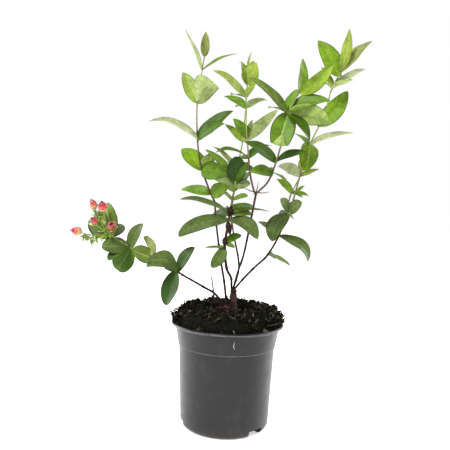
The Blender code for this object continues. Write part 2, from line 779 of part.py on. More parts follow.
def main():
    clear_scene()
    collection = new_collection("potted St Johns wort")
    cutters = new_collection("cutters")
    pot = build_pot(collection, cutters)
    soil = build_soil(collection, cutters)
    stump = build_stump(collection)
    boughs = build_boughs(collection, soil)
    berries = build_berries(collection)
    limbs = [(obj.name, tree_of(obj.data)) for obj in [pot, soil, stump, berries] + boughs]
    build_shoots(collection, limbs)


main()
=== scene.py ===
"""The potted St John's wort dressed for a picture: fine leaves, bark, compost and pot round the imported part.

The tables and growing rules are those of the part's source, in millimetres and degrees, with the front of
the plant towards -Y. The meshes are in metres."""

import math
import random

import bmesh
import bpy
from mathutils import Matrix, Vector, noise


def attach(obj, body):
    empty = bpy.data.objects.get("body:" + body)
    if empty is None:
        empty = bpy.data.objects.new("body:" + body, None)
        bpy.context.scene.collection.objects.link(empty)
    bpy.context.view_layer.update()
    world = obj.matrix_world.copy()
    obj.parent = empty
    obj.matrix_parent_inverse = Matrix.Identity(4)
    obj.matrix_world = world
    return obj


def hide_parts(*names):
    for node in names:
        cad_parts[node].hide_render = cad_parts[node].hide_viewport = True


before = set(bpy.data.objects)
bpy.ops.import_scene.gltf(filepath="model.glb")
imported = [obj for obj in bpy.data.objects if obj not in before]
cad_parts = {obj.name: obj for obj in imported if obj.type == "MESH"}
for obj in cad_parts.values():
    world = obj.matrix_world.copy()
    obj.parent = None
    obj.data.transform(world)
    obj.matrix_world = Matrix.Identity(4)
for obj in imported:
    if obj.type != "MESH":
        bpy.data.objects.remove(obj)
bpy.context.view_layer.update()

MM = 0.001
GAP = 0.3

# Pot: an injection-moulded 12 cm nursery pot
POT_HEIGHT = 111.0
POT_WALL = 1.2
FOOT_RADIUS = 47.3
FOOT_ROUNDING = 6.0
COLLAR_FOOT = 87.0
BODY_TOP_RADIUS = 51.3
COLLAR_STEP = 0.9
COLLAR_TOP = 106.0
COLLAR_TOP_RADIUS = 55.6
LIP_RADIUS = 60.0
LIP_ROLL = 1.6
POT_SIDES = 40
NOTCH_TURNS = (44, 164, 284)
NOTCH_WIDTH = 18.0
NOTCH_HEIGHT = 7.5
NOTCH_INNER_HEIGHT = 2.4
NOTCH_DEPTH = 17.0

# Compost: heaped over the rim, with a level seat for the stump
HEAP_HEIGHT = 124.0
HEAP_SHOULDER = 48.5
HEAP_EDGE = 2.2
SEAT_HEIGHT = 120.0
SEAT_RADIUS = 12.5
SOIL_SIDES = 32
SOIL_LUMP = 1.6
CLODS = 26
CLOD_RADIUS = (2.6, 5.2)
SPILL_REACH = 5.5

# Stump: a short trunk with a flared foot, cut level where the limbs rise
STUMP_PLACE = (5.2, -3.0)
STUMP_TOP_PLACE = (5.0, -0.8)
STUMP_TOP = 146.0
STUMP_TOP_RADIUS = 3.5
STUMP_RADIUS = 3.7
FLARE_RADIUS = 8.0
FLARE_HEIGHT = 10.0
FORK_RING = 2.2
FORK_LIFT = 1.0
LIMB_LIFT = 0.5

# Leaves
LEAF_EASE = 0.6
LEAF_STALK = 1.0
LEAF_SINK = 0.4
LEAF_FOLD = 0.22
REAR_LEAN = -62
REAR_SHARE = 0.85
REAR_FROM = 26.0
HUSK_SINK = 0.42


def fork(turn):
    """Where a limb starts: on a ring just above the stump's top, the turn counted from +X."""
    angle = math.radians(turn)
    x = STUMP_TOP_PLACE[0] + FORK_RING * math.cos(angle)
    y = STUMP_TOP_PLACE[1] + FORK_RING * math.sin(angle)
    return (x, y, STUMP_TOP + FORK_LIFT)


# Limbs: each bare limb's route from its foot, then its radius at the foot and at the tip. A foot with no
# height stands on the compost.
BOUGHS = {
    "bough_low": ([(-6, -9.5), (-6.5, -9, 129), (-14, -11, 141), (-27, -14, 149), (-50, -19, 162)], 1.4, 1.1),
    "bough_tall_left": (
        [(-5, -1), (-2.5, -2, 130), (-5, 4, 151), (-10, 9, 176), (-16, 16, 212), (-19, 21, 238)], 1.4, 1.0
    ),
    "bough_centre_front": ([fork(180), (2, -5, 158), (-3, -8, 168), (-6, -11, 186)], 1.2, 1.6),
    "bough_centre_back": ([fork(90), (8.5, 6, 157), (10, 14, 173), (3, 24, 204)], 1.2, 1.0),
    "bough_middle": ([fork(270), (9, -9, 166), (15, -13, 189), (24, -21, 249)], 1.2, 1.1),
    "bough_right": ([fork(0), (17, 5, 158), (27, 10, 168), (39, 13, 179)], 1.2, 1.2),
    "dead_twig": ([(-13.5, 1.5), (-17, 5, 145), (-19, 8, 156)], 0.6, 0.4),
}


# Leaf forms: the width as a share of the length
FORMS = {"thin": 0.18, "slim": 0.27, "leaf": 0.37, "oval": 0.47, "broad": 0.60, "round": 0.75}

# How much of its upper face a leaf shows to the front, in degrees; below zero it shows its underside
SHOWS = {"face": 80, "open": 50, "half": 35, "low": 20, "edge": 5, "under": -25, "belly": -60}

# Where along its length a leaf is widest, by age
WIDEST = {"young": 0.4, "old": 0.5}

# Shoots: the twig's age, its route, its radius at the foot and at the tip, and its nodes from the foot up.
# A node is the distance along the twig and its leaves, each as length, form, heading, lean, what it shows
# and, where it is arched, how far its middle rises. The heading runs anticlockwise from the right as seen
# from the front, and the lean is how far the leaf points to the front.
SHOOTS = {
    "leaves_tall_left": (
        "young",
        [(-20, 22, 240), (-26, 24, 252), (-36, 27, 278), (-41, 31, 307), (-43, 34, 348), (-39, 36, 384),
         (-36, 37, 405)],
        (1.0, 0.6),
        [
            (7, (38, "leaf", 173, -20, "open", 2), (27, "broad", 27, 35, "face", 1)),
            (35, (41, "broad", 132, -25, "open"), (31, "oval", 68, -30, "open")),
            (37, (38, "broad", -11, 35, "face", 1), (27, "broad", 50, -25, "belly")),
            (71, (58, "slim", 161, 10, "under", 6), (39, "oval", 30, 30, "open", 2)),
            (72, (51, "leaf", 41, 5, "open", 1), (36, "oval", 120, -65, "half")),
            (112, (46, "leaf", 116, -20, "face"), (37, "round", 27, 40, "belly", 12)),
            (149, (48, "thin", 115, 10, "under"), (44, "thin", 27, 5, "half", 2)),
            (165, (27, "leaf", 88, 15, "face"), (27, "leaf", 84, -12, "open")),
        ],
    ),
    "leaves_centre_front": (
        "old",
        [(-6, -11, 186.5), (-6, -12, 195), (-3, -14, 221), (0, -15, 241), (3, -16, 262)],
        (1.6, 0.9),
        [
            (4, (28, "oval", -123, 35, "face", -2), (22, "thin", 179, 20, "half")),
            (9, (22, "oval", 29, -25, "open"), (13, "oval", -20, 30, "open")),
            (34, (55, "slim", -161, 10, "face", 4), (39, "oval", -30, 25, "open", 6)),
            (39, (55, "slim", 164, 15, "low", 5), (25, "broad", 5, -15, "half", 1)),
            (41, (51, "thin", 4, -30, "low", 1),),
            (55, (15, "oval", 142, 30, "half"), (21, "oval", 16, 40, "half")),
            (69, (17, "round", 161, 10, "open", 1), (17, "round", 13, 15, "open")),
            (71, (50, "slim", 132, -12, "half", 3),),
            (74, (27, "round", 90, 20, "face"), (28, "slim", 60, 35, "face")),
        ],
    ),
    "leaves_centre_back": (
        "young",
        [(3, 24, 204.5), (0, 28, 224), (2, 31, 250), (5, 31, 280), (9, 28, 303), (11, 24, 335),
         (11, 22, 356)],
        (1.0, 0.6),
        [
            (22, (43, "leaf", -157, -45, "half", 2), (48, "leaf", 17, -50, "half", 2)),
            (46, (40, "oval", 148, -40, "half", 2), (50, "leaf", 50, -45, "half", 2)),
            (72, (40, "slim", 136, -15, "half"), (23, "round", 0, -20, "half", 2)),
            (103, (33, "leaf", 134, -25, "open"), (56, "slim", 43, 30, "belly", -2)),
            (151, (50, "leaf", 147, 30, "half", 1), (27, "oval", 61, -20, "half")),
        ],
    ),
    "leaves_middle_left": (
        "young",
        [(22, -20, 250), (18, -19, 264), (15, -16, 285), (11, -10, 326), (11, -5, 360), (11, -3, 380)],
        (1.0, 0.6),
        [
            (35, (38, "leaf", 172, 25, "low", 4), (38, "leaf", 35, -35, "half", 2)),
            (56, (28, "broad", 124, -15, "open"), (29, "leaf", 78, -35, "half")),
            (88, (32, "leaf", 148, -25, "open", 2), (29, "leaf", 17, 40, "under", 3)),
            (114, (25, "oval", 110, 30, "open"), (25, "round", 68, 30, "face")),
            (119, (26, "leaf", 111, -25, "low", 2), (25, "broad", 76, -20, "open")),
            (128, (21, "thin", 82, 0, "half"),),
        ],
    ),
    "leaves_middle_right": (
        "young",
        [(26, -22, 250), (37, -26, 264), (46, -35, 297), (51, -41, 328), (62, -40, 350)],
        (1.0, 0.6),
        [
            (25, (27, "broad", 180, 30, "open"), (24, "oval", -38, 40, "low", 1)),
            (37, (42, "leaf", 152, 30, "open", 1), (35, "leaf", 16, 25, "half", 2)),
            (85, (54, "slim", 142, 20, "open"), (40, "leaf", -54, 30, "open", 3)),
            (86, (39, "broad", -104, 20, "face"), (46, "oval", -15, 30, "belly", 2)),
            (89, (29, "broad", 73, -30, "half"), (41, "oval", 13, 20, "open", 1)),
            (108, (44, "leaf", 42, 25, "face", -3), (41, "leaf", 83, -20, "open")),
        ],
    ),
    "leaves_right_low": (
        "old",
        [(39.5, 13, 179.5), (48, 16, 193), (55, 18, 208), (64, 22, 231)],
        (1.2, 1.0),
        [
            (4, (28, "leaf", -24, 20, "low"),),
            (28, (41, "oval", -27, 20, "half", 1), (40, "slim", 148, -50, "half", 1)),
            (54, (37, "broad", -122, 20, "open", 4), (13, "round", -25, -50, "half")),
            (57, (19, "round", 126, 20, "open"), (20, "round", 44, 35, "open")),
        ],
    ),
    "leaves_right_inner": (
        "young",
        [(63, 26, 233), (65, 27, 248), (75, 32, 269), (79, 35, 279)],
        (0.9, 0.5),
        [
            (18, (25, "oval", 135, -20, "open", 1), (22, "leaf", -5, -10, "half", 1)),
            (20, (18, "oval", -20, -30, "half"),),
            (40, (34, "leaf", 160, 30, "belly", 4), (26, "leaf", 24, -15, "half")),
            (48, (23, "broad", 75, -30, "open"), (36, "leaf", 95, -45, "half")),
        ],
    ),
    "leaves_right_outer": (
        "young",
        [(67, 23, 234), (69, 20, 250), (81, 14, 300), (89, 5, 322), (96, 2, 342), (100, -1, 361),
         (108, -6, 378)],
        (1.0, 0.6),
        [
            (15, (17, "leaf", 50, 30, "half"),),
            (70, (28, "oval", 133, -35, "half", 1), (50, "slim", 16, 20, "under", 4)),
            (72, (34, "broad", -99, 25, "face"),),
            (94, (54, "leaf", 53, -10, "face", -2), (23, "broad", 142, -40, "half")),
            (135, (30, "leaf", 112, -20, "open"), (39, "leaf", 33, 15, "under")),
            (137, (25, "leaf", 17, 40, "under"),),
            (149, (46, "oval", 119, -10, "face", 1), (47, "thin", 99, -35, "open")),
            (155, (43, "slim", 84, 20, "face", -2), (43, "slim", 49, 15, "open")),
            (156, (46, "thin", 58, -20, "half"),),
        ],
    ),
    "leaves_low": (
        "old",
        [(-50.5, -19, 162.5), (-80, -25, 178), (-104, -29, 190), (-122, -31, 201)],
        (1.0, 0.8),
        [
            (3, (34, "broad", 165, 20, "open", 8), (32, "oval", 61, -15, "open", 1)),
            (6, (37, "broad", -104, 15, "open", -1), (20, "oval", 55, -45, "half")),
            (33, (25, "round", 154, 30, "open"), (25, "leaf", 120, -25, "belly", 8)),
            (57, (30, "round", -123, -10, "face"), (28, "broad", 70, -15, "open", 2)),
            (61, (27, "round", 180, 25, "open", -1), (27, "broad", -142, 40, "half")),
            (79, (38, "broad", 111, -20, "face", 1), (22, "broad", -107, -40, "half")),
            (78, (44, "round", 141, -38, "face", 1),),
        ],
    ),
}

# Dried seed capsules on the twigs, each as the distance along the twig, length, width, heading and lean
HUSKS = {"leaves_centre_front": [(38, 13, 6.2, 82, 20), (31, 15, 6.2, -78, 25), (15, 10, 4.8, -105, 30)]}

# Berries: the stalks' common root, then each berry's place and size, long and wide
BERRY_ROOT = (-123, -34, 202.5)
BERRY_STALK = 0.7
BERRIES = [
    ((-139, -34, 231), 9.5, 7.5),
    ((-129, -37, 229), 10.5, 9.5),
    ((-136.5, -40, 215), 10.0, 7.0),
    ((-118.5, -42, 211), 10.0, 8.5),
    ((-155.5, -33, 203.5), 10.5, 9.0),
    ((-148, -30, 198), 7.5, 4.5),
]

# Fine leaves: the sheet, its margin, its veins and its curls
BLADE_ROWS = 32
BLADE_COLUMNS = (0.0, 0.045, 0.2, 0.4, 0.6, 0.77, 0.9, 1.0)
BLADE_SHEET = 0.34
BLADE_RIM = 0.3
RIB_GROOVE = 0.10
RIB_RIDGE = 0.30
VEINS = 7
VEIN_RELIEF = 0.05
VEIN_SLANT = 0.16
MARGIN_WAVE = 0.010
CURL_SHARE = 0.3
ROLL_SHARE = 0.42

# Daylight in the studio: how much of its seen colour a leaf, a stem or a berry has as its own
DAYLIGHT = 0.53

# Leaf tones: the upper face and the under face, as seen in the studio
TONES = {
    "lime": ((156, 178, 66), (180, 194, 124)),
    "spring": ((138, 168, 46), (176, 192, 112)),
    "bright": ((118, 154, 26), (168, 188, 98)),
    "mid": ((96, 131, 27), (148, 170, 88)),
    "deep": ((66, 98, 17), (140, 156, 88)),
    "blue": ((84, 104, 46), (142, 156, 104)),
    "moss": ((102, 124, 46), (150, 164, 104)),
    "grey": ((118, 138, 78), (156, 168, 122)),
    "olive": ((134, 142, 70), (148, 158, 94)),
    "dark": ((48, 76, 16), (96, 114, 66)),
    "pale": ((150, 178, 86), (174, 184, 132)),
    "sage": ((138, 162, 64), (176, 194, 120)),
}

# Each shoot's leaves by tone, node by node from the foot up
LEAF_TONES = {
    "leaves_tall_left": [
        ("mid", "mid"), ("bright", "spring"), ("mid", "mid"), ("pale", "deep"), ("deep", "bright"),
        ("sage", "sage"), ("moss", "moss"), ("olive", "spring"),
    ],
    "leaves_centre_front": [
        ("blue", "moss"), ("mid", "moss"), ("blue", "blue"), ("blue", "moss"), ("mid",),
        ("grey", "mid"), ("grey", "grey"), ("mid",), ("dark", "deep"),
    ],
    "leaves_centre_back": [
        ("deep", "mid"), ("spring", "mid"), ("olive", "deep"), ("spring", "sage"), ("lime", "spring", "deep"),
    ],
    "leaves_middle_left": [
        ("deep", "deep"), ("mid", "moss"), ("mid", "deep"), ("sage", "lime"), ("spring", "lime"), ("olive",),
    ],
    "leaves_middle_right": [
        ("mid", "mid"), ("deep", "deep"), ("moss", "deep"), ("mid", "mid"), ("mid", "mid"),
        ("spring", "bright"),
    ],
    "leaves_right_low": [
        ("grey", "deep"), ("blue", "moss"), ("blue", "blue"), ("grey", "grey"),
    ],
    "leaves_right_inner": [
        ("bright", "bright"), ("mid",), ("pale", "lime"), ("spring", "bright"),
    ],
    "leaves_right_outer": [
        ("mid",), ("mid", "pale"), ("bright",), ("bright", "mid"), ("lime", "pale", "olive"), ("sage",),
        ("bright", "lime"), ("lime", "olive"), ("sage",),
    ],
    "leaves_low": [
        ("blue", "dark"), ("dark", "deep"), ("moss", "olive"), ("deep", "blue"), ("blue", "deep"),
        ("moss", "deep"), ("blue",),
    ],
}

# Leaves with a strong pale midrib
PALE_RIBS = {
    "leaves_tall_left 7 0", "leaves_right_outer 2 0", "leaves_right_outer 7 0", "leaves_right_outer 7 1",
    "leaves_middle_right 3 0", "leaves_middle_right 2 0", "leaves_low 2 0", "leaves_centre_back 4 0",
    "leaves_low 5 0",
}

# Leaves whose tip curls: degrees towards the upper face, or with a minus towards the under face, and where
# along the blade the bend starts and ends
CURLS = {
    "leaves_middle_right 3 0": (172, 0.7, 0.82),
    "leaves_middle_right 3 1": (-60, 0.7, 1.0),
    "leaves_right_outer 1 1": (12, 0.7, 1.0),
    "leaves_centre_front 2 0": (-50, 0.7, 1.0),
    "leaves_low 2 1": (-90, 0.7, 1.0),
    "leaves_right_low 1 0": (-75, 0.55, 1.0),
    "leaves_low 0 0": (-70, 0.8, 1.0),
}

# Leaves with one margin rolled over their upper face, in degrees, with a minus for the margin on the other side
ROLLS = {
    "leaves_middle_right 5 0": -140,
    "leaves_tall_left 2 0": -120,
    "leaves_low 5 0": 60,
}

# Small leaves in the axils of the larger ones
AXIL_LENGTH = (5.0, 10.0)
AXIL_CHANCE = 0.25
AXIL_LIMIT = 100.0

# Stem tones from the ground up
STEMS = {
    "char": (44, 29, 24),
    "brown": (72, 46, 35),
    "rust": (98, 80, 60),
    "tan": (150, 138, 100),
    "green": (150, 164, 92),
}
DEAD_TWIG_BARK = 1.7
LIMB_TONES = ("char", "char", "char", "brown")
TWIG_TONES = {
    "leaves_tall_left": ("brown", "rust", "tan", "green"),
    "leaves_centre_front": ("brown", "rust", "tan", "green"),
    "leaves_centre_back": ("rust", "tan", "green", "green"),
    "leaves_middle_left": ("rust", "tan", "green", "green"),
    "leaves_middle_right": ("rust", "tan", "tan", "green"),
    "leaves_right_low": ("char", "brown", "rust", "tan"),
    "leaves_right_inner": ("tan", "tan", "green", "green"),
    "leaves_right_outer": ("tan", "tan", "green", "green"),
    "leaves_low": ("char", "brown", "rust", "green"),
}

# How far each berry turns from its stalk's direction towards the front
BERRY_TURNS = (0.2, 0.3, 1.2, 1.6, 0.2, 0.0)

# Bracts among the berries' stalks: how many, their length, and where along a stalk they stand
BRACTS = 84
BRACT_LENGTH = (4.0, 9.0)
BRACT_REACH = (0.02, 0.8)

# Dried leaf bases at the fork of the middle limb: heading, lean and length
SPUR_ROOT = (24, -21, 249.5)
SPURS = [(160, 5, 16), (3, 10, 13), (80, 0, 11), (-150, 30, 5)]

# Compost: its lumps, crumbs, bark chips and fibres, and the fibrous crown round the stump
HEAP_RINGS = 64
HEAP_SIDES = 200
HEAP_LUMPS = ((0.08, 2.6), (0.2, 3.2), (0.42, 2.2), (1.0, 0.9))
CRUMBS = 420
CRUMB_SIZE = (0.8, 2.8)
CHIPS = 900
CHIP_LENGTH = (4.0, 13.0)
CHIP_TILT = 0.9
SPILLED_CHIPS = 210
FIBRES = 420
FIBRE_LENGTH = (4.0, 15.0)
CROWN_PLACE = (-3.0, -9.0)
CROWN_RADIUS = 12.0
CROWN_HEIGHT = 6.5
CROWN_FIBRES = 150
CROWN_LUMPS = 70

# Pot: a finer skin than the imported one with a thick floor, its uneven wall and its scuff
SKIN_SIDES = 160
POT_FLOOR = 11.0
SKIN_WAVE = 0.12
SCUFF_TURN = 6.5


def linear(colour, share=1.0):
    """A daylight colour of 0 to 255 as the linear red, green and blue that a shader takes."""
    parts = [value / 255 for value in colour]
    return tuple(share * (s / 12.92 if s <= 0.04045 else ((s + 0.055) / 1.055) ** 2.4) for s in parts)


def shade(colour, factor):
    return tuple(min(255, value * factor) for value in colour)


def blend(first, second, share):
    return tuple(a + (b - a) * share for a, b in zip(first, second))


class Finish:
    """A node-built Principled material, made step by step."""

    def __init__(self, name, roughness, gloss=0.5):
        self.material = bpy.data.materials.new(name)
        self.material.use_nodes = True
        self.tree = self.material.node_tree
        self.shader = self.tree.nodes["Principled BSDF"]
        self.shader.inputs["Roughness"].default_value = roughness
        self.shader.inputs["Specular IOR Level"].default_value = gloss
        self.place = self.tree.nodes.new("ShaderNodeTexCoord").outputs["Object"]

    def noise(self, scale, detail=4, stretch=None):
        """Noise over the object. The scale is in lumps a metre, and stretch squeezes it along an axis."""
        source = self.place
        if stretch:
            mapping = self.tree.nodes.new("ShaderNodeMapping")
            mapping.inputs["Scale"].default_value = stretch
            self.tree.links.new(source, mapping.inputs["Vector"])
            source = mapping.outputs["Vector"]
        grain = self.tree.nodes.new("ShaderNodeTexNoise")
        grain.inputs["Scale"].default_value = scale
        grain.inputs["Detail"].default_value = detail
        self.tree.links.new(source, grain.inputs["Vector"])
        return grain.outputs["Fac"]

    def spread(self, factor, low, high, to_low=0.0, to_high=1.0):
        """The factor stretched so that low becomes to_low and high becomes to_high."""
        span = self.tree.nodes.new("ShaderNodeMapRange")
        for socket, value in (("From Min", low), ("From Max", high), ("To Min", to_low), ("To Max", to_high)):
            span.inputs[socket].default_value = value
        self.tree.links.new(factor, span.inputs["Value"])
        return span.outputs["Result"]

    def mixed(self, factor, first, second):
        """A blend of two colours by the factor, each a linear colour or another blend."""
        mix = self.tree.nodes.new("ShaderNodeMix")
        mix.data_type = "RGBA"
        for socket, colour in ((mix.inputs[6], first), (mix.inputs[7], second)):
            if isinstance(colour, tuple):
                socket.default_value = (*colour, 1)
            else:
                self.tree.links.new(colour, socket)
        self.tree.links.new(factor, mix.inputs[0])
        return mix.outputs[2]

    def base(self, colour):
        self.tree.links.new(colour, self.shader.inputs["Base Color"])

    def roughness(self, factor):
        self.tree.links.new(factor, self.shader.inputs["Roughness"])

    def bump(self, factor, height):
        """A relief of this height in millimetres."""
        relief = self.tree.nodes.new("ShaderNodeBump")
        relief.inputs["Strength"].default_value = 1.0
        relief.inputs["Distance"].default_value = height * MM
        self.tree.links.new(factor, relief.inputs["Height"])
        self.tree.links.new(relief.outputs["Normal"], self.shader.inputs["Normal"])


def leaf_finish(name, colour, roughness):
    """Living green: broad cloudy patches and a finer mottle, slightly satin."""
    made = Finish(name, roughness, 0.12)
    patches = made.spread(made.noise(75, 2), 0.35, 0.65)
    mottle = made.spread(made.noise(260, 4), 0.3, 0.7)
    dark, light = shade(colour, 0.82), shade(colour, 1.03)
    shadowed = made.mixed(mottle, linear(dark, DAYLIGHT), linear(light, DAYLIGHT))
    dark, light = shade(colour, 0.97), shade(colour, 1.2)
    made.base(made.mixed(patches, shadowed, made.mixed(mottle, linear(dark, DAYLIGHT), linear(light, DAYLIGHT))))
    made.bump(made.noise(900, 3), 0.012)
    return made.material


def stem_finish(name, colour):
    """Bark or stem skin: lengthwise streaks over a fine relief."""
    made = Finish(name, 0.65, 0.1)
    streaks = made.spread(made.noise(420, 5, (1, 1, 0.25)), 0.3, 0.7)
    made.base(made.mixed(streaks, linear(shade(colour, 0.7), DAYLIGHT), linear(shade(colour, 1.18), DAYLIGHT)))
    made.bump(made.noise(900, 4, (1, 1, 0.3)), 0.15)
    return made.material


def berry_finish(name, colour):
    """Taut glossy fruit skin with a faint mottle."""
    made = Finish(name, 0.28, 0.5)
    mottle = made.spread(made.noise(260, 4), 0.3, 0.7)
    made.base(made.mixed(mottle, linear(shade(colour, 0.93), DAYLIGHT), linear(shade(colour, 1.07), DAYLIGHT)))
    made.bump(made.noise(800, 3), 0.04)
    return made.material


def plastic_finish():
    """Black moulded plastic, satin, with dusty smears and a trace of soil round the foot."""
    made = Finish("pot_plastic", 0.34, 0.27)
    clean = made.mixed(made.noise(60, 4), linear((9, 9, 11)), linear((14, 14, 16)))
    smears = made.spread(made.noise(120, 6, (1, 1, 0.6)), 0.55, 0.8, 0.0, 0.3)
    dusty = made.mixed(smears, clean, linear((54, 53, 52)))
    height = made.tree.nodes.new("ShaderNodeSeparateXYZ")
    made.tree.links.new(made.place, height.inputs[0])
    foot = made.spread(height.outputs["Z"], 0.012, 0.0, 0.0, 0.35)
    made.base(made.mixed(foot, dusty, linear((58, 48, 36))))
    made.roughness(made.spread(made.noise(90, 5), 0.3, 0.7, 0.32, 0.44))
    made.bump(made.noise(1100, 4), 0.012)
    return made.material


def edge_highlight_finish():
    """The pot's collar step and the lip's outer edge, painted paler in mottled patches as a painted highlight."""
    made = Finish("pot_edge_highlight", 0.5, 0.42)
    # Painted highlight: two pale greys mixed in patches, standing in for the light that these edges catch.
    highlight_mottle = made.spread(made.noise(160, 5), 0.35, 0.7)
    made.base(made.mixed(highlight_mottle, linear((38, 38, 40)), linear((84, 84, 86))))
    made.bump(made.noise(1100, 4), 0.012)
    return made.material


def soil_finish(name, dark, light):
    made = Finish(name, 0.95, 0.04)
    grains = made.spread(made.noise(650, 6), 0.4, 0.72)
    made.base(made.mixed(grains, linear(dark), linear(light)))
    made.bump(made.noise(900, 6), 0.6)
    return made.material


def centre_line(route):
    """A smooth line through the route's points, as closely spaced vectors in millimetres."""
    points = [Vector(p) for p in route]
    points = [2 * points[0] - points[1]] + points + [2 * points[-1] - points[-2]]
    line = []
    for before, start, end, after in zip(points, points[1:], points[2:], points[3:]):
        for step in range(8):
            t = step / 8
            line.append(
                0.5
                * (
                    2 * start
                    + (end - before) * t
                    + (2 * before - 5 * start + 4 * end - after) * t**2
                    + (3 * start - before - 3 * end + after) * t**3
                )
            )
    line.append(points[-2])
    return line


def along_line(line, distance):
    """The place at this distance from the line's start, and the line's direction there."""
    for start, end in zip(line, line[1:]):
        length = (end - start).length
        if distance <= length:
            return start.lerp(end, distance / length), (end - start).normalized()
        distance -= length
    return line[-1].copy(), (line[-1] - line[-2]).normalized()


def line_length(line):
    return sum((end - start).length for start, end in zip(line, line[1:]))


def pointing(heading, lean):
    """The direction that has this heading as seen from the front and leans this far to the front."""
    heading = math.radians(heading)
    lean = math.radians(lean)
    return Vector((math.cos(lean) * math.cos(heading), -math.sin(lean), math.cos(lean) * math.sin(heading)))


def stretch_of(curl, start, end):
    """How much longer a blade is made so that it reaches as far with its tip curled as it would flat."""
    bent = abs(curl)
    reach = start + (end - start) * math.sin(min(bent, math.pi / 2)) / bent
    return 1 / max(reach, reach + (1 - end) * math.cos(bent))


class Leaf:
    """One blade by the part's rule, with a finer margin, midrib, veins and curls."""

    def __init__(self, key, root, stem, age, length, form, heading, lean, show, bow=0):
        rng = random.Random(key)
        show = math.radians(SHOWS[show] + rng.uniform(-3, 3))
        self.out = pointing(heading, lean)
        self.root = root - self.out * LEAF_SINK
        self.length = length
        self.width = length * FORMS[form]
        self.widest = WIDEST[age]
        front = Vector((0, -1, 0))
        front = (front - self.out * front.dot(self.out)).normalized()
        rise = self.out.cross(front)
        if rise.dot(stem + Vector((0, 0, 1))) < 0:
            rise = -rise
        self.upper = front * math.sin(show) + rise * math.cos(show)
        self.side = self.out.cross(self.upper)
        sky = Vector((0.01, 0, 1))
        self.bow = (sky - self.out * sky.dot(self.out)).normalized() * bow
        self.arch = length * rng.uniform(0.01, 0.04)
        self.sweep = length * rng.uniform(-0.02, 0.02)
        self.twist = math.radians(rng.uniform(-10, 10))
        self.waves = [rng.uniform(0, 2 * math.pi) for _ in range(2)]
        curl, *self.bend = CURLS.get(key, (rng.uniform(-28, -2), 1 - CURL_SHARE, 1.0))
        self.curl = math.radians(curl)
        self.stretch = stretch_of(self.curl, *self.bend)
        self.roll = math.radians(ROLLS.get(key, 0))

    def half_width(self, along):
        drop = LEAF_EASE * (1 - self.widest) / self.widest
        peak = self.widest**LEAF_EASE * (1 - self.widest) ** drop
        blade = self.width / 2 * along**LEAF_EASE * (1 - along) ** drop / peak
        stalk = LEAF_STALK / 2 * (1 - along) ** 3
        return max(blade, stalk)

    def spine(self, along):
        """The midrib's place, and the ways that the blade and its upper face point there."""
        bend = 4 * along * (1 - along)
        start, end = self.bend
        turn = self.curl * min(max(along - start, 0.0) / (end - start), 1.0)
        length = self.length * self.stretch
        radius = (end - start) * length / self.curl
        beyond = max(along - end, 0.0) * length
        straight = min(along, start) * length + radius * math.sin(turn) + beyond * math.cos(turn)
        lift = radius * (1 - math.cos(turn)) + beyond * math.sin(turn)
        place = self.root + self.out * straight + self.bow * bend + self.side * (self.sweep * bend)
        place += self.upper * (self.arch * bend + lift)
        upper = self.upper * math.cos(turn) - self.out * math.sin(turn)
        return place, upper

    def section(self, half, across):
        """How far a point lies to the side of the midrib and above it, the margin's roll included."""
        edge = abs(across)
        fold = half * edge * LEAF_FOLD * (0.55 + 0.45 * edge)
        past = edge - 1 + ROLL_SHARE
        if past <= 0 or self.roll * across <= 0:
            return half * across, fold
        angle = abs(self.roll) * past / ROLL_SHARE
        radius = half * ROLL_SHARE / abs(self.roll)
        reach = half * (1 - ROLL_SHARE) + radius * math.sin(angle)
        return math.copysign(reach, across), fold + radius * (1 - math.cos(angle))

    def surface(self, along, across, face=0):
        """A point of the upper face, with face 1, the under face, with -1, or the middle sheet."""
        edge = abs(across)
        bend = 4 * along * (1 - along)
        place, upper = self.spine(along)
        reach, rise = self.section(self.half_width(along), across)
        spin = self.twist * (along - 0.5)
        phase = self.waves[across > 0]
        wave = self.length * MARGIN_WAVE * edge**2 * bend * math.sin(9 * along + phase)
        vein = VEINS * 2 * math.pi * (along - VEIN_SLANT * edge)
        quilt = VEIN_RELIEF * math.cos(vein) * bend * math.sin(math.pi * edge)
        sheet = BLADE_SHEET / 2 * (1 - (1 - BLADE_RIM) * edge**3)
        rib = max(0.0, 1 - edge / BLADE_COLUMNS[2]) * (1 - along**2)
        sheet += (RIB_RIDGE if face < 0 else -RIB_GROOVE) * rib
        lift = rise + wave + quilt + reach * math.sin(spin) + face * sheet
        return place + upper * lift + self.side * (reach * math.cos(spin))


def leaf_into(shape, leaf, finishes, rows=BLADE_ROWS):
    """The blade as a closed thin sheet, with a finish each for its two faces, their midribs and their margins."""
    upper, under, upper_rib, under_rib, upper_margin, under_margin = finishes
    columns = [-c for c in BLADE_COLUMNS[:0:-1]] + list(BLADE_COLUMNS)
    last = len(columns) - 1
    tip = shape.verts.new(leaf.surface(1.0, 0.0) * MM)
    grid = []
    for row in range(rows):
        along = (row / rows) ** 1.1
        sheets = []
        for face in (1, -1):
            ring = []
            for number, across in enumerate(columns):
                rim = row == 0 or number in (0, last)
                if rim and face < 0:
                    ring.append(sheets[0][number])
                else:
                    ring.append(shape.verts.new(leaf.surface(along, across, 0 if rim else face) * MM))
            sheets.append(ring)
        grid.append(sheets)
    middle = last // 2
    for below, above in zip(grid, grid[1:] + [None]):
        parts = ((upper, upper_rib, upper_margin), (under, under_rib, under_margin))
        for side, (plain, rib, margin) in enumerate(parts):
            for number in range(last):
                low = [below[side][number], below[side][number + 1]]
                high = [above[side][number + 1], above[side][number]] if above else [tip]
                corners = low + high if side == 0 else (low + high)[::-1]
                made = shape.faces.new(corners)
                made.smooth = True
                if number in (middle - 1, middle):
                    made.material_index = rib
                elif number in (0, last - 1):
                    made.material_index = margin
                else:
                    made.material_index = plain


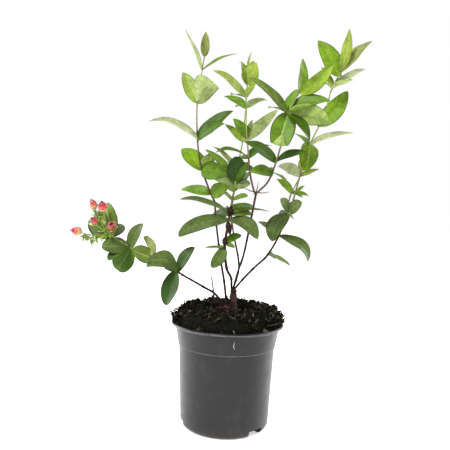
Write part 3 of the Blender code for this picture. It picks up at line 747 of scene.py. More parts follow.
def loft_into(shape, line, radius_at, sides, spacing, finish_at):
    """A round stem along the line, closed at both ends. Its radius and its finish follow place and share."""
    length = line_length(line)
    steps = max(3, round(length / spacing))
    rings = []
    across = None
    for step in range(steps + 1):
        place, heading = along_line(line, length * step / steps)
        if across is None:
            across = heading.cross(Vector((0.3, 0.9, 0.1))).normalized()
        across = (across - heading * across.dot(heading)).normalized()
        other = heading.cross(across)
        ring = []
        for side in range(sides):
            angle = 2 * math.pi * side / sides
            out = across * math.cos(angle) + other * math.sin(angle)
            ring.append(shape.verts.new((place + out * radius_at(step / steps, angle, place)) * MM))
        rings.append(ring)
    for step, (low, high) in enumerate(zip(rings, rings[1:])):
        for side in range(sides):
            after = (side + 1) % sides
            face = shape.faces.new((low[side], low[after], high[after], high[side]))
            face.smooth = True
            face.material_index = finish_at((step + 0.5) / steps, face.calc_center_median() / MM)
    shape.faces.new(rings[0][::-1]).material_index = finish_at(0, line[0])
    shape.faces.new(rings[-1]).material_index = finish_at(1, line[-1])


def even_taper(foot, tip):
    return lambda share, angle, place: foot + (tip - foot) * share


def one_finish(number):
    return lambda share, place: number


def bark_radius(foot, tip, length, nodes, relief):
    """A tapering stem's radius with a ring at each leaf node and this share of lumpy relief."""

    def radius_at(share, angle, place):
        plain = foot + (tip - foot) * share
        ring = sum(0.28 * math.exp(-(((share * length - node) / 1.1) ** 2)) for node in nodes)
        lumps = noise.noise(place * 0.9 + Vector((0, 0, 7))) + 0.6 * noise.noise(place * 2.3)
        ribs = math.cos(2 * angle + place.z * 0.02)
        return plain * (1 + min(ring, 0.3) + relief * lumps + 0.05 * ribs)

    return radius_at


def stem_tone_at(tones):
    """Which finish a spot of a stem has: the tones follow each other up the stem with ragged borders."""
    names = list(STEMS)

    def finish_at(share, place):
        ragged = share + 0.12 * noise.noise(place * 0.35)
        step = min(len(tones) - 1, max(0, int(ragged * len(tones))))
        return names.index(tones[step])

    return finish_at


def piece_from(name, shape, finishes, slot, *nodes):
    mesh = bpy.data.meshes.new(name)
    bmesh.ops.recalc_face_normals(shape, faces=shape.faces)
    shape.to_mesh(mesh)
    shape.free()
    obj = bpy.data.objects.new(name, mesh)
    bpy.context.scene.collection.objects.link(obj)
    for finish in finishes:
        mesh.materials.append(finish)
    return placed(obj, slot, *nodes)


def placed(obj, slot, *nodes):
    """The piece rides on the plant's one body and stands for its nodes. The slot is not used."""
    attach(obj, "root")
    if nodes:
        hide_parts(*nodes)
    return obj


def tone_finishes():
    """Seven finishes a tone: the two faces, a faint rib on each, a pale rib and the two darker margins."""
    finishes = []
    for name, (upper, under) in TONES.items():
        finishes.append(leaf_finish(f"{name}_upper", upper, 0.45))
        finishes.append(leaf_finish(f"{name}_under", under, 0.6))
        finishes.append(leaf_finish(f"{name}_rib", blend(upper, under, 0.4), 0.5))
        finishes.append(leaf_finish(f"{name}_under_rib", shade(under, 1.04), 0.6))
        finishes.append(leaf_finish(f"{name}_pale_rib", shade(under, 1.06), 0.5))
        finishes.append(leaf_finish(f"{name}_margin", shade(upper, 0.72), 0.5))
        finishes.append(leaf_finish(f"{name}_under_margin", shade(under, 0.76), 0.6))
    return finishes


def tone_set(tone, key):
    """The six finishes of a leaf of this tone, as leaf_into takes them."""
    first = 7 * list(TONES).index(tone)
    rib = first + 4 if key in PALE_RIBS else first + 2
    return (first, first + 1, rib, first + 3, first + 5, first + 6)


def whorl_of(number, leaves):
    """A node's leaves. At every second node one more points to the back, behind a first leaf that hides it."""
    length, form, heading = leaves[0][:3]
    if number % 2 or length < REAR_FROM or form == "thin":
        return leaves
    return [*leaves, (length * REAR_SHARE, form, heading, REAR_LEAN, "half")]


def stands_in_part(name, leaf):
    """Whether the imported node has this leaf: its tip is there unless the clearance rule left it out."""
    tip = (leaf.root + leaf.out * leaf.length) * MM
    near = min((vertex.co - tip).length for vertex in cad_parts[name].data.vertices)
    return near < 1.5 * MM


def axil_leaves(key, distance, root, stem, age, pair):
    """Up to two tiny leaves just above a pair, each on its leaf's side but closer to the stem."""
    rng = random.Random(key)
    found = []
    for length, _, heading, lean, show, *_ in pair:
        if rng.random() < AXIL_CHANCE and distance < AXIL_LIMIT and length > 4 * AXIL_LENGTH[0]:
            steep = pointing(heading, lean) + stem * rng.uniform(1.2, 2.4)
            steep.normalize()
            small = Leaf(
                f"{key} {heading}", root + stem * 0.8, stem, age, rng.uniform(*AXIL_LENGTH), "leaf",
                math.degrees(math.atan2(steep.z, steep.x)), math.degrees(-math.asin(steep.y)),
                rng.choice(("half", "open")),
            )
            found.append(small)
    return found


def twig_line(route):
    """A twig's line, its foot led on into the tip of the limb or twig that carries it."""
    line = centre_line(route)
    tips = [Vector(limb[-1]) for limb, _, _ in BOUGHS.values()]
    tips.append(Vector(SHOOTS["leaves_right_low"][1][-1]))
    near = min(tips, key=lambda tip: (tip - line[0]).length)
    return [near] + line


def build_foliage():
    finishes = tone_finishes()
    stem_finishes = [stem_finish(f"stem_{name}", colour) for name, colour in STEMS.items()]
    for name, (age, route, radii, nodes) in SHOOTS.items():
        line = centre_line(route)
        leaves = bmesh.new()
        for number, (distance, *pair) in enumerate(nodes):
            root, stem = along_line(line, distance)
            tones = LEAF_TONES[name][number]
            for side, settings in enumerate(whorl_of(number, pair)):
                key = f"{name} {number} {side}"
                leaf = Leaf(key, root, stem, age, *settings)
                if stands_in_part(name, leaf):
                    leaf_into(leaves, leaf, tone_set(tones[min(side, len(tones) - 1)], key))
            for small in axil_leaves(f"{name} {number} axil", distance, root, stem, age, pair):
                leaf_into(leaves, small, tone_set(tones[0], name), 12)
        slot = "old_leaves" if age == "old" else "young_leaves"
        piece_from(f"{name}_blades", leaves, finishes, slot, name)
        twig = bmesh.new()
        whole = twig_line(route)
        radius_at = bark_radius(*radii, line_length(whole), [node[0] for node in nodes], 0.05)
        loft_into(twig, whole, radius_at, 12, 1.2, stem_tone_at(TWIG_TONES[name]))
        piece_from(f"{name}_twig", twig, stem_finishes, slot)
    build_husks()
    build_spurs(stem_finishes)


def husk_into(shape, place, out, length, width):
    """A dried capsule: three ribs, a split tip and a rough skin."""
    turn = Vector((0, 0, 1)).rotation_difference(out).to_matrix()
    made = bmesh.ops.create_uvsphere(shape, u_segments=30, v_segments=18, radius=0.5)
    for vertex in made["verts"]:
        spot = vertex.co.copy()
        share = spot.z + 0.5
        angle = math.atan2(spot.y, spot.x)
        girth = width * (1 - 0.9 * max(0.0, share - 0.5)) * (1 + 0.12 * math.cos(3 * angle))
        girth *= 1 + 0.18 * noise.noise(spot * 6 + place)
        flare = 0.10 * max(0.0, share - 0.8) * math.cos(3 * angle)
        grown = Vector((spot.x * girth, spot.y * girth, (spot.z + flare) * length))
        vertex.co = (place + turn @ grown) * MM
    for face in {face for vertex in made["verts"] for face in vertex.link_faces}:
        face.smooth = True


def build_husks():
    dry = Finish("dry_husk", 0.8, 0.08)
    grain = dry.spread(dry.noise(500, 5), 0.35, 0.7)
    dry.base(dry.mixed(grain, linear((16, 10, 8)), linear((52, 32, 23))))
    dry.bump(dry.noise(700, 5), 0.4)
    shape = bmesh.new()
    for name, husks in HUSKS.items():
        line = centre_line(SHOOTS[name][1])
        for distance, length, width, heading, lean in husks:
            root, _ = along_line(line, distance)
            out = pointing(heading, lean)
            husk_into(shape, root + out * length * HUSK_SINK, out, length, width)
    piece_from("dried_seed_head", shape, [dry.material], "bark")


def build_spurs(stem_finishes):
    """The thin dried leaf bases that stand out from the middle limb's fork."""
    shape = bmesh.new()
    root = Vector(SPUR_ROOT)
    for heading, lean, length in SPURS:
        end = root + pointing(heading, lean) * length
        bend = root.lerp(end, 0.5) + Vector((0, 0, -0.06 * length))
        tones = stem_tone_at(("brown", "rust"))
        loft_into(shape, centre_line([root, bend, end]), even_taper(0.65, 0.25), 8, 0.8, tones)
    piece_from("dried_spurs", shape, stem_finishes, "bark")


def build_limbs():
    finishes = [stem_finish(f"bark_{name}", colour) for name, colour in STEMS.items()]
    for name, (route, foot, tip) in BOUGHS.items():
        shape = bmesh.new()
        line = centre_line(limb_route(route))
        length = line_length(line)
        knots = [length * share for share in (0.3, 0.62, 0.99)]
        bark = DEAD_TWIG_BARK if name == "dead_twig" else 1.0
        radius_at = bark_radius(foot * bark, tip * bark, length, knots, 0.12)
        loft_into(shape, line, radius_at, 16, 0.8, stem_tone_at(LIMB_TONES))
        piece_from(f"{name}_bark", shape, finishes, "bark", name)
    build_stump(finishes)


def limb_route(route):
    """A limb's route with its foot sunk in the compost or in the stump's top."""
    if len(route[0]) == 2:
        x, y = route[0]
        return [(x, y, heap_height(x, y) - 4), *route[1:]]
    foot = Vector(route[0]).lerp(Vector((*STUMP_TOP_PLACE, STUMP_TOP - 4)), 0.5)
    return [tuple(foot), *route]


def stump_radius(share, angle, place):
    """The part's stump with buttresses in its flare, lumpy bark and a rounded top."""
    flare = max(0.0, 1.0 - share * (STUMP_TOP - SEAT_HEIGHT) / FLARE_HEIGHT)
    body = STUMP_RADIUS + (STUMP_TOP_RADIUS - STUMP_RADIUS) * share
    buttress = 1 + 0.25 * flare * math.cos(5 * angle + 1)
    plain = body + (FLARE_RADIUS - STUMP_RADIUS) * flare**2 * buttress
    lumps = noise.noise(place * 0.5) + 0.5 * noise.noise(place * 1.6) + 0.5 * math.cos(3 * angle + place.z * 0.1)
    top = math.sqrt(max(0.0, 1 - max(0.0, (share - 0.9) / 0.1) ** 2))
    return plain * (1 + 0.17 * lumps) * (0.3 + 0.7 * top)


def build_stump(finishes):
    foot = (*STUMP_PLACE, SEAT_HEIGHT + 2 * GAP)
    middle = (STUMP_PLACE[0], STUMP_PLACE[1], SEAT_HEIGHT + FLARE_HEIGHT)
    top = (*STUMP_TOP_PLACE, STUMP_TOP)
    below_top = (*STUMP_TOP_PLACE, STUMP_TOP - 4)
    shape = bmesh.new()
    tones = stem_tone_at(("brown", "char", "brown", "char"))
    loft_into(shape, centre_line([foot, middle, below_top, top]), stump_radius, 30, 0.5, tones)
    piece_from("stump_bark", shape, finishes, "bark", "stump")


class Sepal(Leaf):
    """A small blade at a berry's base that hugs its side."""

    def __init__(self, key, root, out, around, length, width):
        rng = random.Random(key)
        spread = rng.uniform(0.7, 1.3)
        self.out = (out + around * spread).normalized()
        self.upper = (out - around / spread).normalized()
        self.side = self.out.cross(self.upper)
        self.root = root
        self.length = length
        self.width = width
        self.widest = WIDEST["young"]
        self.bow = around * length * 0.16
        self.arch = 0.0
        self.sweep = 0.0
        self.twist = 0.0
        self.waves = [rng.uniform(0, 2 * math.pi) for _ in range(2)]
        self.curl = math.radians(rng.uniform(-50, -10))
        self.bend = (1 - CURL_SHARE, 1.0)
        self.stretch = 1.0
        self.roll = 0.0


def berry_into(shape, place, out, length, width, ripe):
    """A berry with its three soft lobes, pale foot, dark tip and the dried style on it."""
    turn = Vector((0, 0, 1)).rotation_difference(out).to_matrix()
    made = bmesh.ops.create_uvsphere(shape, u_segments=30, v_segments=22, radius=0.5)
    for vertex in made["verts"]:
        spot = vertex.co.copy()
        share = spot.z + 0.5
        angle = math.atan2(spot.y, spot.x)
        girth = width * (1.0 - 0.35 * max(0.0, share - 0.5)) * (1 + 0.035 * math.cos(3 * angle) * share)
        point = 0.12 * max(0.0, share - 0.8) / 0.2
        grown = Vector((spot.x * girth, spot.y * girth, (spot.z + point * 0.5) * length))
        vertex.co = (place + turn @ grown) * MM
    for face in {face for vertex in made["verts"] for face in vertex.link_faces}:
        face.smooth = True
        spot = face.calc_center_median() / MM
        share = (spot - place).dot(out) / length + 0.5 + 0.10 * noise.noise(spot * 0.45)
        if not ripe:
            face.material_index = 3
        elif share > 1.0:
            face.material_index = 4
        elif share < 0.36:
            face.material_index = 2
        else:
            face.material_index = 1 if share > 0.66 else 0
    tip = place + out * length * 0.5
    loft_into(shape, [tip, tip + out * 0.9, tip + out * 1.6], even_taper(0.7, 0.2), 8, 0.5, one_finish(4))


def bract_into(shape, number, root):
    """A narrow pointed bract on one of the berries' stalks, more of them near the common root."""
    rng = random.Random(f"bract {number}")
    place = Vector(BERRIES[number % len(BERRIES)][0])
    bend = root.lerp(place, 0.5) + Vector((0, 0, -3))
    line = centre_line([root, bend, place])
    spot, heading = along_line(line, line_length(line) * rng.uniform(*BRACT_REACH))
    out = (heading + Vector([rng.uniform(-0.9, 0.9) for _ in range(3)])).normalized()
    across = out.cross(Vector((rng.uniform(-0.5, 0.5), 1, rng.uniform(-0.5, 0.5)))).normalized()
    length = rng.uniform(*BRACT_LENGTH)
    bract = Sepal(f"bract {number}", spot, out, across, length, length * rng.uniform(0.3, 0.45))
    finish = rng.choice((6, 7, 7, 8))
    leaf_into(shape, bract, (finish,) * 6, 10)


def build_berries():
    finishes = [
        berry_finish("berry_skin", (226, 86, 76)),
        berry_finish("berry_shoulder", (172, 42, 50)),
        berry_finish("berry_foot", (246, 178, 140)),
        berry_finish("green_pod", (140, 152, 60)),
        stem_finish("dry_style", (58, 40, 32)),
        stem_finish("berry_stalk", (142, 164, 76)),
        leaf_finish("sepal", (206, 212, 148), 0.55),
        leaf_finish("bract", (140, 164, 70), 0.55),
        leaf_finish("bract_green", (104, 136, 50), 0.55),
    ]
    shape = bmesh.new()
    root = Vector(BERRY_ROOT)
    for number, (place, length, width) in enumerate(BERRIES):
        place = Vector(place)
        bend = root.lerp(place, 0.5) + Vector((0, 0, -3))
        line = centre_line([root, bend, place])
        loft_into(shape, line, even_taper(BERRY_STALK, BERRY_STALK * 0.9), 8, 1.2, one_finish(5))
        out = ((place - bend).normalized() + Vector((0, -BERRY_TURNS[number], 0))).normalized()
        berry_into(shape, place, out, length, width, width > 5)
        across = out.cross(Vector((0, 1, 0))).normalized()
        for petal in range(5):
            turn = Matrix.Rotation(2 * math.pi * (petal + 0.2 * number) / 5, 3, out)
            foot = place - out * length * 0.5
            sepal = Sepal(f"sepal {number} {petal}", foot, out, turn @ across, width * 0.85, width * 0.42)
            leaf_into(shape, sepal, (6, 6, 6, 6, 6, 6), 10)
    for number in range(BRACTS):
        bract_into(shape, number, root)
    piece_from("berry_cluster", shape, finishes, "berries", "berries")


def pot_inner_radius(height):
    """The inside of the pot's wall at a height above its rounded foot."""
    if height < COLLAR_FOOT:
        share = (height - FOOT_ROUNDING) / (COLLAR_FOOT - FOOT_ROUNDING)
        return FOOT_RADIUS + (BODY_TOP_RADIUS - FOOT_RADIUS) * share - POT_WALL
    share = (height - COLLAR_FOOT) / (COLLAR_TOP - COLLAR_FOOT)
    collar_foot_radius = BODY_TOP_RADIUS + COLLAR_STEP
    return collar_foot_radius + (COLLAR_TOP_RADIUS - collar_foot_radius) * min(share, 1.0) - POT_WALL


def arc(centre, radius, start, end, steps):
    """Points of (radius, height) along an arc, from one angle to another."""
    angles = [math.radians(start + (end - start) * i / steps) for i in range(steps + 1)]
    return [(centre[0] + radius * math.cos(a), centre[1] + radius * math.sin(a)) for a in angles]


def pot_profile():
    """The pot's section from the middle of its underside, out and up, over the lip and down inside."""
    foot_flat = FOOT_RADIUS - FOOT_ROUNDING
    roll_centre = (LIP_RADIUS - LIP_ROLL, POT_HEIGHT - LIP_ROLL)
    step = BODY_TOP_RADIUS + COLLAR_STEP
    inner = pot_inner_radius(COLLAR_TOP)
    profile = [(0, 0), (foot_flat * 0.5, 0)]
    profile += arc((foot_flat, FOOT_ROUNDING), FOOT_ROUNDING, -90, 0, 12)
    profile += [(BODY_TOP_RADIUS - 0.1, COLLAR_FOOT - 1.6), (BODY_TOP_RADIUS, COLLAR_FOOT - 0.5)]
    profile += arc((step - 0.7, COLLAR_FOOT + 0.5), 0.7, -80, 0, 4)
    profile += [
        (step + 0.05, COLLAR_FOOT + 1.5),
        (COLLAR_TOP_RADIUS - 0.6, COLLAR_TOP - 3),
        (COLLAR_TOP_RADIUS, COLLAR_TOP),
        (COLLAR_TOP_RADIUS + 1.2, COLLAR_TOP + 1.0),
        (roll_centre[0] - 0.8, roll_centre[1] - LIP_ROLL * 0.8),
    ]
    profile += arc(roll_centre, LIP_ROLL, -60, 90, 8)
    profile += [
        (inner + POT_WALL + 0.4, POT_HEIGHT),
        (inner + 0.3, POT_HEIGHT - 0.8),
        (inner, COLLAR_TOP),
        (pot_inner_radius(COLLAR_FOOT), COLLAR_FOOT),
        (pot_inner_radius(POT_FLOOR), POT_FLOOR),
        (0, POT_FLOOR),
    ]
    return profile


def skin_point(radius, height, angle):
    """A point of the turned pot, its wall very slightly out of round as thin moulded plastic is."""
    share = height / POT_HEIGHT
    radius += SKIN_WAVE * share * math.sin(2 * angle + 0.7) + SKIN_WAVE * share * math.sin(5 * angle + 2)
    return Vector((radius * math.sin(angle), -radius * math.cos(angle), height)) * MM


def build_pot():
    shape = bmesh.new()
    profile = pot_profile()
    poles = [shape.verts.new((0, 0, height * MM)) for _, height in (profile[0], profile[-1])]
    rings = []
    for side in range(SKIN_SIDES):
        angle = 2 * math.pi * side / SKIN_SIDES
        inner_points = [shape.verts.new(skin_point(*point, angle)) for point in profile[1:-1]]
        rings.append([poles[0], *inner_points, poles[1]])
    for ring, after in zip(rings, rings[1:] + rings[:1]):
        for number in range(len(profile) - 1):
            corners = [ring[number], after[number], after[number + 1], ring[number + 1]]
            face = shape.faces.new(list(dict.fromkeys(corners)))
            face.smooth = True
            low, high = sorted((profile[number][1], profile[number + 1][1]))
            outer = min(profile[number][0], profile[number + 1][0])
            # The faces round the collar step and on the lip's outer edge take the painted highlight finish, paler
            # than the plastic.
            highlighted = COLLAR_FOOT - 0.6 < low and high < COLLAR_FOOT + 0.6 or outer > LIP_RADIUS - 0.25
            face.material_index = 1 if highlighted else 0
    pot = piece_from("pot_skin", shape, [plastic_finish(), edge_highlight_finish()], "pot", "pot")
    cutters = [notch(pot, turn) for turn in NOTCH_TURNS]
    bpy.context.view_layer.update()
    graph = bpy.context.evaluated_depsgraph_get()
    pot.data = bpy.data.meshes.new_from_object(pot.evaluated_get(graph))
    pot.modifiers.clear()
    for cutter in cutters:
        bpy.data.objects.remove(cutter)
    pot.data.set_sharp_from_angle(angle=math.radians(38))
    build_scuff()


def notch(pot, turn):
    """A drain notch as the part has it. The turn is counted from the front, to the right."""
    mesh = bpy.data.meshes.new("notch")
    shape = bmesh.new()
    bmesh.ops.create_cube(shape, size=2.0)
    for vertex in shape.verts:
        inner = vertex.co.y > 0
        height = NOTCH_INNER_HEIGHT if inner else NOTCH_HEIGHT
        reach = NOTCH_DEPTH if inner else 0
        vertex.co = Vector((vertex.co.x * NOTCH_WIDTH / 2, reach, vertex.co.z * height)) * MM
    shape.to_mesh(mesh)
    shape.free()
    cutter = bpy.data.objects.new(f"notch_{turn}", mesh)
    bpy.context.scene.collection.objects.link(cutter)
    angle = math.radians(turn)
    mouth = (FOOT_RADIUS + 1) * MM
    cutter.location = (math.sin(angle) * mouth, -math.cos(angle) * mouth, 0)
    cutter.rotation_euler = (0, 0, angle)
    cut = pot.modifiers.new(f"Notch {turn}", "BOOLEAN")
    cut.operation = "DIFFERENCE"
    cut.object = cutter
    return cutter


def build_scuff():
    """A short crooked scratch in the collar's front, with the plastic whitened along it."""
    whitened = Finish("scuffed_plastic", 0.7, 0.3)
    whitened.base(whitened.mixed(whitened.noise(900), linear((120, 120, 120)), linear((176, 176, 174))))
    shape = bmesh.new()
    line = []
    for step in range(13):
        share = step / 12
        height = 103.0 - 9.0 * share
        turn = math.radians(SCUFF_TURN + 0.7 * math.cos(5.0 * share) + 1.6 * share)
        radius = pot_inner_radius(height) + POT_WALL - 0.02
        line.append(Vector((radius * math.sin(turn), -radius * math.cos(turn), height)))
    loft_into(shape, line, lambda share, angle, place: 0.12 + 0.34 * math.sin(math.pi * share) ** 2, 6, 0.5,
              one_finish(0))
    piece_from("pot_scuff", shape, [whitened.material], "pot")


def heap_height(x, y):
    """The height of the compost's surface, without its clods."""
    radius = math.hypot(x, y)
    rim = pot_inner_radius(COLLAR_TOP)
    if radius <= HEAP_SHOULDER:
        height = HEAP_HEIGHT
    else:
        share = (radius - HEAP_SHOULDER) / (rim - HEAP_SHOULDER)
        height = HEAP_HEIGHT - (HEAP_HEIGHT - POT_HEIGHT) * share**HEAP_EDGE
    from_stump = math.hypot(x - STUMP_PLACE[0], y - STUMP_PLACE[1])
    sink = min(max((from_stump - SEAT_RADIUS) / SEAT_RADIUS, 0.0), 1.0)
    lump = SOIL_LUMP * noise.noise(Vector((x, y, 0)) * 0.16) * sink
    return SEAT_HEIGHT + (height - SEAT_HEIGHT) * sink + lump


def rough_height(x, y):
    """The compost's surface with its lumps, and the fibrous crown heaped against the stems."""
    rim = pot_inner_radius(COLLAR_TOP)
    calm = min(1.0, max(0.0, (rim - math.hypot(x, y)) / 5.0))
    height = heap_height(x, y)
    for number, (scale, size) in enumerate(HEAP_LUMPS):
        height += calm * size * noise.noise(Vector((x, y, 31.0 * number)) * scale)
    from_crown = math.hypot(x - CROWN_PLACE[0], y - CROWN_PLACE[1])
    return height + CROWN_HEIGHT * math.exp(-((from_crown / CROWN_RADIUS) ** 2))


def build_compost():
    finishes = [
        soil_finish("compost", (6, 6, 5), (24, 23, 18)),
        soil_finish("compost_brown", (20, 18, 13), (66, 60, 42)),
        soil_finish("compost_rust", (46, 29, 23), (98, 64, 50)),
        soil_finish("compost_straw", (42, 42, 32), (92, 90, 68)),
    ]
    shape = bmesh.new()
    heap_into(shape)
    for number in range(CLODS):
        clod_into(shape, number)
    for number in range(CRUMBS):
        crumb_into(shape, number)
    for number in range(CHIPS + SPILLED_CHIPS):
        chip_into(shape, number)
    for number in range(CROWN_LUMPS):
        crown_lump_into(shape, number)
    for number in range(FIBRES):
        fibre_into(shape, f"fibre {number}", None)
    for number in range(CROWN_FIBRES):
        fibre_into(shape, f"crown {number}", CROWN_PLACE)
    piece_from("compost_heap", shape, finishes, "soil", "soil")


def heap_into(shape):
    """The heap's surface, closed by a wall down inside the pot and a floor."""
    rim = pot_inner_radius(COLLAR_TOP)
    centre = shape.verts.new((0, 0, rough_height(0, 0) * MM))
    rings = []
    for ring in range(1, HEAP_RINGS + 1):
        radius = (rim - GAP) * ring / HEAP_RINGS
        points = []
        for side in range(HEAP_SIDES):
            angle = 2 * math.pi * side / HEAP_SIDES
            x, y = radius * math.cos(angle), radius * math.sin(angle)
            points.append(shape.verts.new(Vector((x, y, rough_height(x, y))) * MM))
        rings.append(points)
    floor = [shape.verts.new((v.co.x * 0.97, v.co.y * 0.97, (POT_HEIGHT - 14) * MM)) for v in rings[-1]]
    rings.append(floor)
    for low, high in zip(rings, rings[1:]):
        for side in range(HEAP_SIDES):
            after = (side + 1) % HEAP_SIDES
            shape.faces.new((low[side], high[side], high[after], low[after])).smooth = True
    for side in range(HEAP_SIDES):
        shape.faces.new((centre, rings[0][side], rings[0][(side + 1) % HEAP_SIDES])).smooth = True
    shape.faces.new(floor[::-1])


def ball_of(levels):
    """The points and faces of a ball of radius 1."""
    shape = bmesh.new()
    bmesh.ops.create_icosphere(shape, subdivisions=levels, radius=1.0)
    points = [vertex.co.copy() for vertex in shape.verts]
    faces = [[vertex.index for vertex in face.verts] for face in shape.faces]
    shape.free()
    return points, faces


BALLS = {levels: ball_of(levels) for levels in (2, 3)}


def lump_into(shape, rng, centre, size, finish, levels=2):
    """A rough lump of compost."""
    points, faces = BALLS[levels]
    phase = Vector([rng.uniform(-50, 50) for _ in range(3)])
    squash = Vector((rng.uniform(0.7, 1.15), rng.uniform(0.7, 1.15), rng.uniform(0.5, 0.9)))
    turn = Matrix.Rotation(rng.uniform(0, math.pi), 3, "Z")
    made = []
    for spot in points:
        bulge = 1 + 0.55 * noise.noise(spot * 1.1 + phase) + 0.4 * noise.noise(spot * 2.9 + phase)
        grown = turn @ Vector([a * b for a, b in zip(spot, squash)])
        made.append(shape.verts.new((centre + grown * size * bulge) * MM))
    for corners in faces:
        face = shape.faces.new([made[number] for number in corners])
        face.smooth = levels > 2
        face.material_index = finish


def chip_into(shape, number):
    """A thin jagged flake of bark or peat, half sunk in the heap; the last ones stick out over the lip."""
    rng = random.Random(f"chip {number}")
    rim = pot_inner_radius(COLLAR_TOP)
    if number < CHIPS:
        angle = rng.uniform(0, 2 * math.pi)
        reach = rim * math.sqrt(rng.random())
        heading = rng.uniform(0, 2 * math.pi)
    else:
        angle = rng.choice((0.0, 0.0, math.pi)) + rng.uniform(-0.75, 0.45)
        reach = rim + rng.uniform(-2, 5)
        heading = angle + rng.uniform(-0.9, 0.9)
    x, y = reach * math.cos(angle), reach * math.sin(angle)
    height = rough_height(x, y) if reach < rim - 1 else POT_HEIGHT + rng.uniform(0.5, 6)
    tilt = rng.uniform(-0.1, CHIP_TILT)
    along = Vector((math.cos(heading) * math.cos(tilt), math.sin(heading) * math.cos(tilt), math.sin(tilt)))
    across = along.cross(Vector((rng.uniform(-0.6, 0.6), rng.uniform(-0.6, 0.6), 1))).normalized()
    up = across.cross(along)
    length = rng.uniform(*CHIP_LENGTH)
    width = length * rng.uniform(0.10, 0.30)
    centre = Vector((x, y, height + 0.3 * length * math.sin(tilt)))
    finish = rng.choices((0, 1, 2, 3), (58, 31, 1, 10))[0]
    rings = []
    for step in range(6):
        share = step / 5 - 0.5
        girth = width * (1.1 - 1.9 * abs(share)) * rng.uniform(0.6, 1.2)
        bow = up * (length * rng.uniform(-0.06, 0.06))
        middle = centre + along * (share * length) + bow + across * rng.uniform(-0.2, 0.2)
        thick = up * (0.12 * width + 0.12)
        side = across * girth / 2
        corners = (middle - side, middle + thick, middle + side, middle - thick)
        rings.append([shape.verts.new(corner * MM) for corner in corners])
    for low, high in zip(rings, rings[1:]):
        for side in range(4):
            after = (side + 1) % 4
            shape.faces.new((low[side], low[after], high[after], high[side])).material_index = finish
    shape.faces.new(rings[0][::-1]).material_index = finish
    shape.faces.new(rings[-1]).material_index = finish


def clod_into(shape, number):
    """A clod where the part has it: every third lies on the rim to the right or the back."""
    rng = random.Random(f"clod {number}")
    size = rng.uniform(*CLOD_RADIUS)
    if number % 3:
        angle = rng.uniform(0, 2 * math.pi)
        reach = rng.uniform(SEAT_RADIUS + 8, pot_inner_radius(COLLAR_TOP) - 4 - size)
    else:
        angle = rng.uniform(-0.7, 0.5) + (math.pi if number % 2 else 0.0)
        reach = pot_inner_radius(COLLAR_TOP) - size + rng.uniform(0, SPILL_REACH)
    x, y = reach * math.cos(angle), reach * math.sin(angle)
    height = max(heap_height(x, y), POT_HEIGHT + GAP + size * 0.95)
    lump_into(shape, rng, Vector((x, y, height)), size, 0, 3)


def crumb_into(shape, number):
    """A crumb anywhere on the heap; every fourth lies on the rim."""
    rng = random.Random(f"crumb {number}")
    size = rng.uniform(*CRUMB_SIZE)
    angle = rng.uniform(0, 2 * math.pi)
    rim = pot_inner_radius(COLLAR_TOP)
    reach = rim + rng.uniform(-4, 3.2) if number % 4 == 0 else rim * math.sqrt(rng.random())
    x, y = reach * math.cos(angle), reach * math.sin(angle)
    height = rough_height(x, y) if reach < rim - 1 else POT_HEIGHT
    finish = rng.choices((0, 1, 3), (80, 17, 3))[0]
    lump_into(shape, rng, Vector((x, y, height + 0.35 * size)), size, finish)


def crown_lump_into(shape, number):
    """A reddish scrap of root on the fibrous crown."""
    rng = random.Random(f"crown lump {number}")
    angle = rng.uniform(0, 2 * math.pi)
    reach = CROWN_RADIUS * rng.random()
    x, y = CROWN_PLACE[0] + reach * math.cos(angle), CROWN_PLACE[1] + 0.7 * reach * math.sin(angle)
    finish = rng.choices((0, 1, 2), (15, 30, 55))[0]
    lump_into(shape, rng, Vector((x, y, rough_height(x, y) + 0.3)), rng.uniform(0.8, 2.2), finish)


def fibre_into(shape, key, middle):
    """A thin root or bark fibre lying on the heap, or on the crown round the stems where middle is given."""
    rng = random.Random(key)
    length = rng.uniform(*FIBRE_LENGTH)
    angle = rng.uniform(0, 2 * math.pi)
    rim = pot_inner_radius(COLLAR_TOP)
    if middle:
        reach = CROWN_RADIUS * rng.random()
        x, y = middle[0] + reach * math.cos(angle), middle[1] + 0.7 * reach * math.sin(angle)
        finish = rng.choices((1, 2, 3), (35, 58, 7))[0]
    else:
        reach = (rim - 0.5) * math.sqrt(rng.random())
        x, y = reach * math.cos(angle), reach * math.sin(angle)
        finish = rng.choices((0, 1, 2, 3), (62, 29, 2, 7))[0]
    heading = rng.uniform(0, 2 * math.pi)
    rise = rng.uniform(-0.15, 0.5)
    point = Vector((x, y, rough_height(x, y) + 0.2))
    points = [point]
    for _ in range(3):
        heading += rng.uniform(-0.6, 0.6)
        step = Vector((math.cos(heading), math.sin(heading), rise)) * length / 3
        point = point + step
        floor = rough_height(point.x, point.y) if math.hypot(point.x, point.y) < rim else POT_HEIGHT
        point.z = max(point.z, floor + 0.1)
        rise -= 0.25
        points.append(point)
    thick = rng.uniform(0.16, 0.5)
    loft_into(shape, centre_line(points), even_taper(thick, thick * 0.4), 5, 1.6, one_finish(finish))


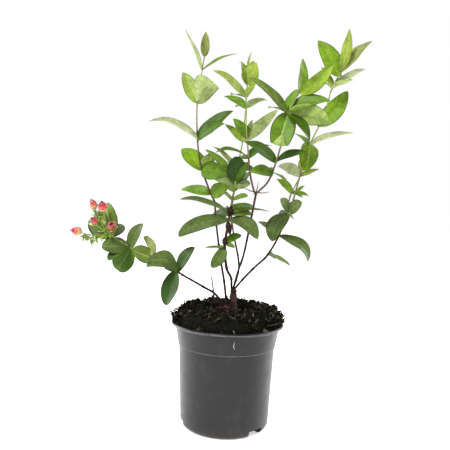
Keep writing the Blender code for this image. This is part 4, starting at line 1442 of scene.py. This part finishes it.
def area_light(name, place, aim, size, power):
    light = bpy.data.lights.new(name, "AREA")
    light.shape = "RECTANGLE"
    light.size, light.size_y = size
    light.energy = power
    obj = bpy.data.objects.new(name, light)
    bpy.context.scene.collection.objects.link(obj)
    obj.location = place
    obj.rotation_euler = (Vector(aim) - Vector(place)).to_track_quat("-Z", "Y").to_euler()


def build_studio():
    floor_mesh = bpy.data.meshes.new("floor")
    shape = bmesh.new()
    bmesh.ops.create_grid(shape, x_segments=1, y_segments=1, size=4.0)
    shape.to_mesh(floor_mesh)
    shape.free()
    floor = bpy.data.objects.new("floor", floor_mesh)
    pale = Finish("floor_white", 0.8, 0.2)
    pale.base(pale.mixed(pale.noise(40), linear((244, 244, 244)), linear((248, 248, 248))))
    pale.shader.inputs["Emission Color"].default_value = (1, 1, 1, 1)
    pale.shader.inputs["Emission Strength"].default_value = 0.5
    floor_mesh.materials.append(pale.material)
    bpy.context.scene.collection.objects.link(floor)
    world = bpy.data.worlds.new("studio")
    world.use_nodes = True
    world.node_tree.nodes["Background"].inputs["Color"].default_value = (1, 1, 1, 1)
    world.node_tree.nodes["Background"].inputs["Strength"].default_value = 1.0
    bpy.context.scene.world = world
    bpy.context.scene.view_settings.view_transform = "Standard"
    aim = (0, 0, 0.2)
    area_light("key", (-0.5, -0.85, 1.3), aim, (0.6, 0.6), 32)
    area_light("left_panel", (-0.75, 0.35, 0.35), aim, (0.3, 1.0), 9)
    area_light("right_panel", (0.75, 0.35, 0.35), aim, (0.3, 1.0), 9)


def build_camera():
    camera = bpy.data.cameras.new("camera")
    camera.sensor_width = 36
    camera.lens = 42.285
    obj = bpy.data.objects.new("camera", camera)
    bpy.context.scene.collection.objects.link(obj)
    pitch, roll = 0.0475, 0.0382
    forward = Vector((0, math.cos(pitch), -math.sin(pitch)))
    over = Vector((0, math.sin(pitch), math.cos(pitch)))
    right = Vector((1, 0, 0)) * math.cos(roll) + over * math.sin(roll)
    up = right.cross(forward)
    turn = Matrix((right, up, -forward)).transposed()
    obj.matrix_world = Matrix.Translation(Vector((-6.635, -563.44, 240.57)) * MM) @ turn.to_4x4()
    bpy.context.scene.camera = obj


build_foliage()
build_limbs()
build_berries()
build_compost()
build_pot()
build_studio()
build_camera()
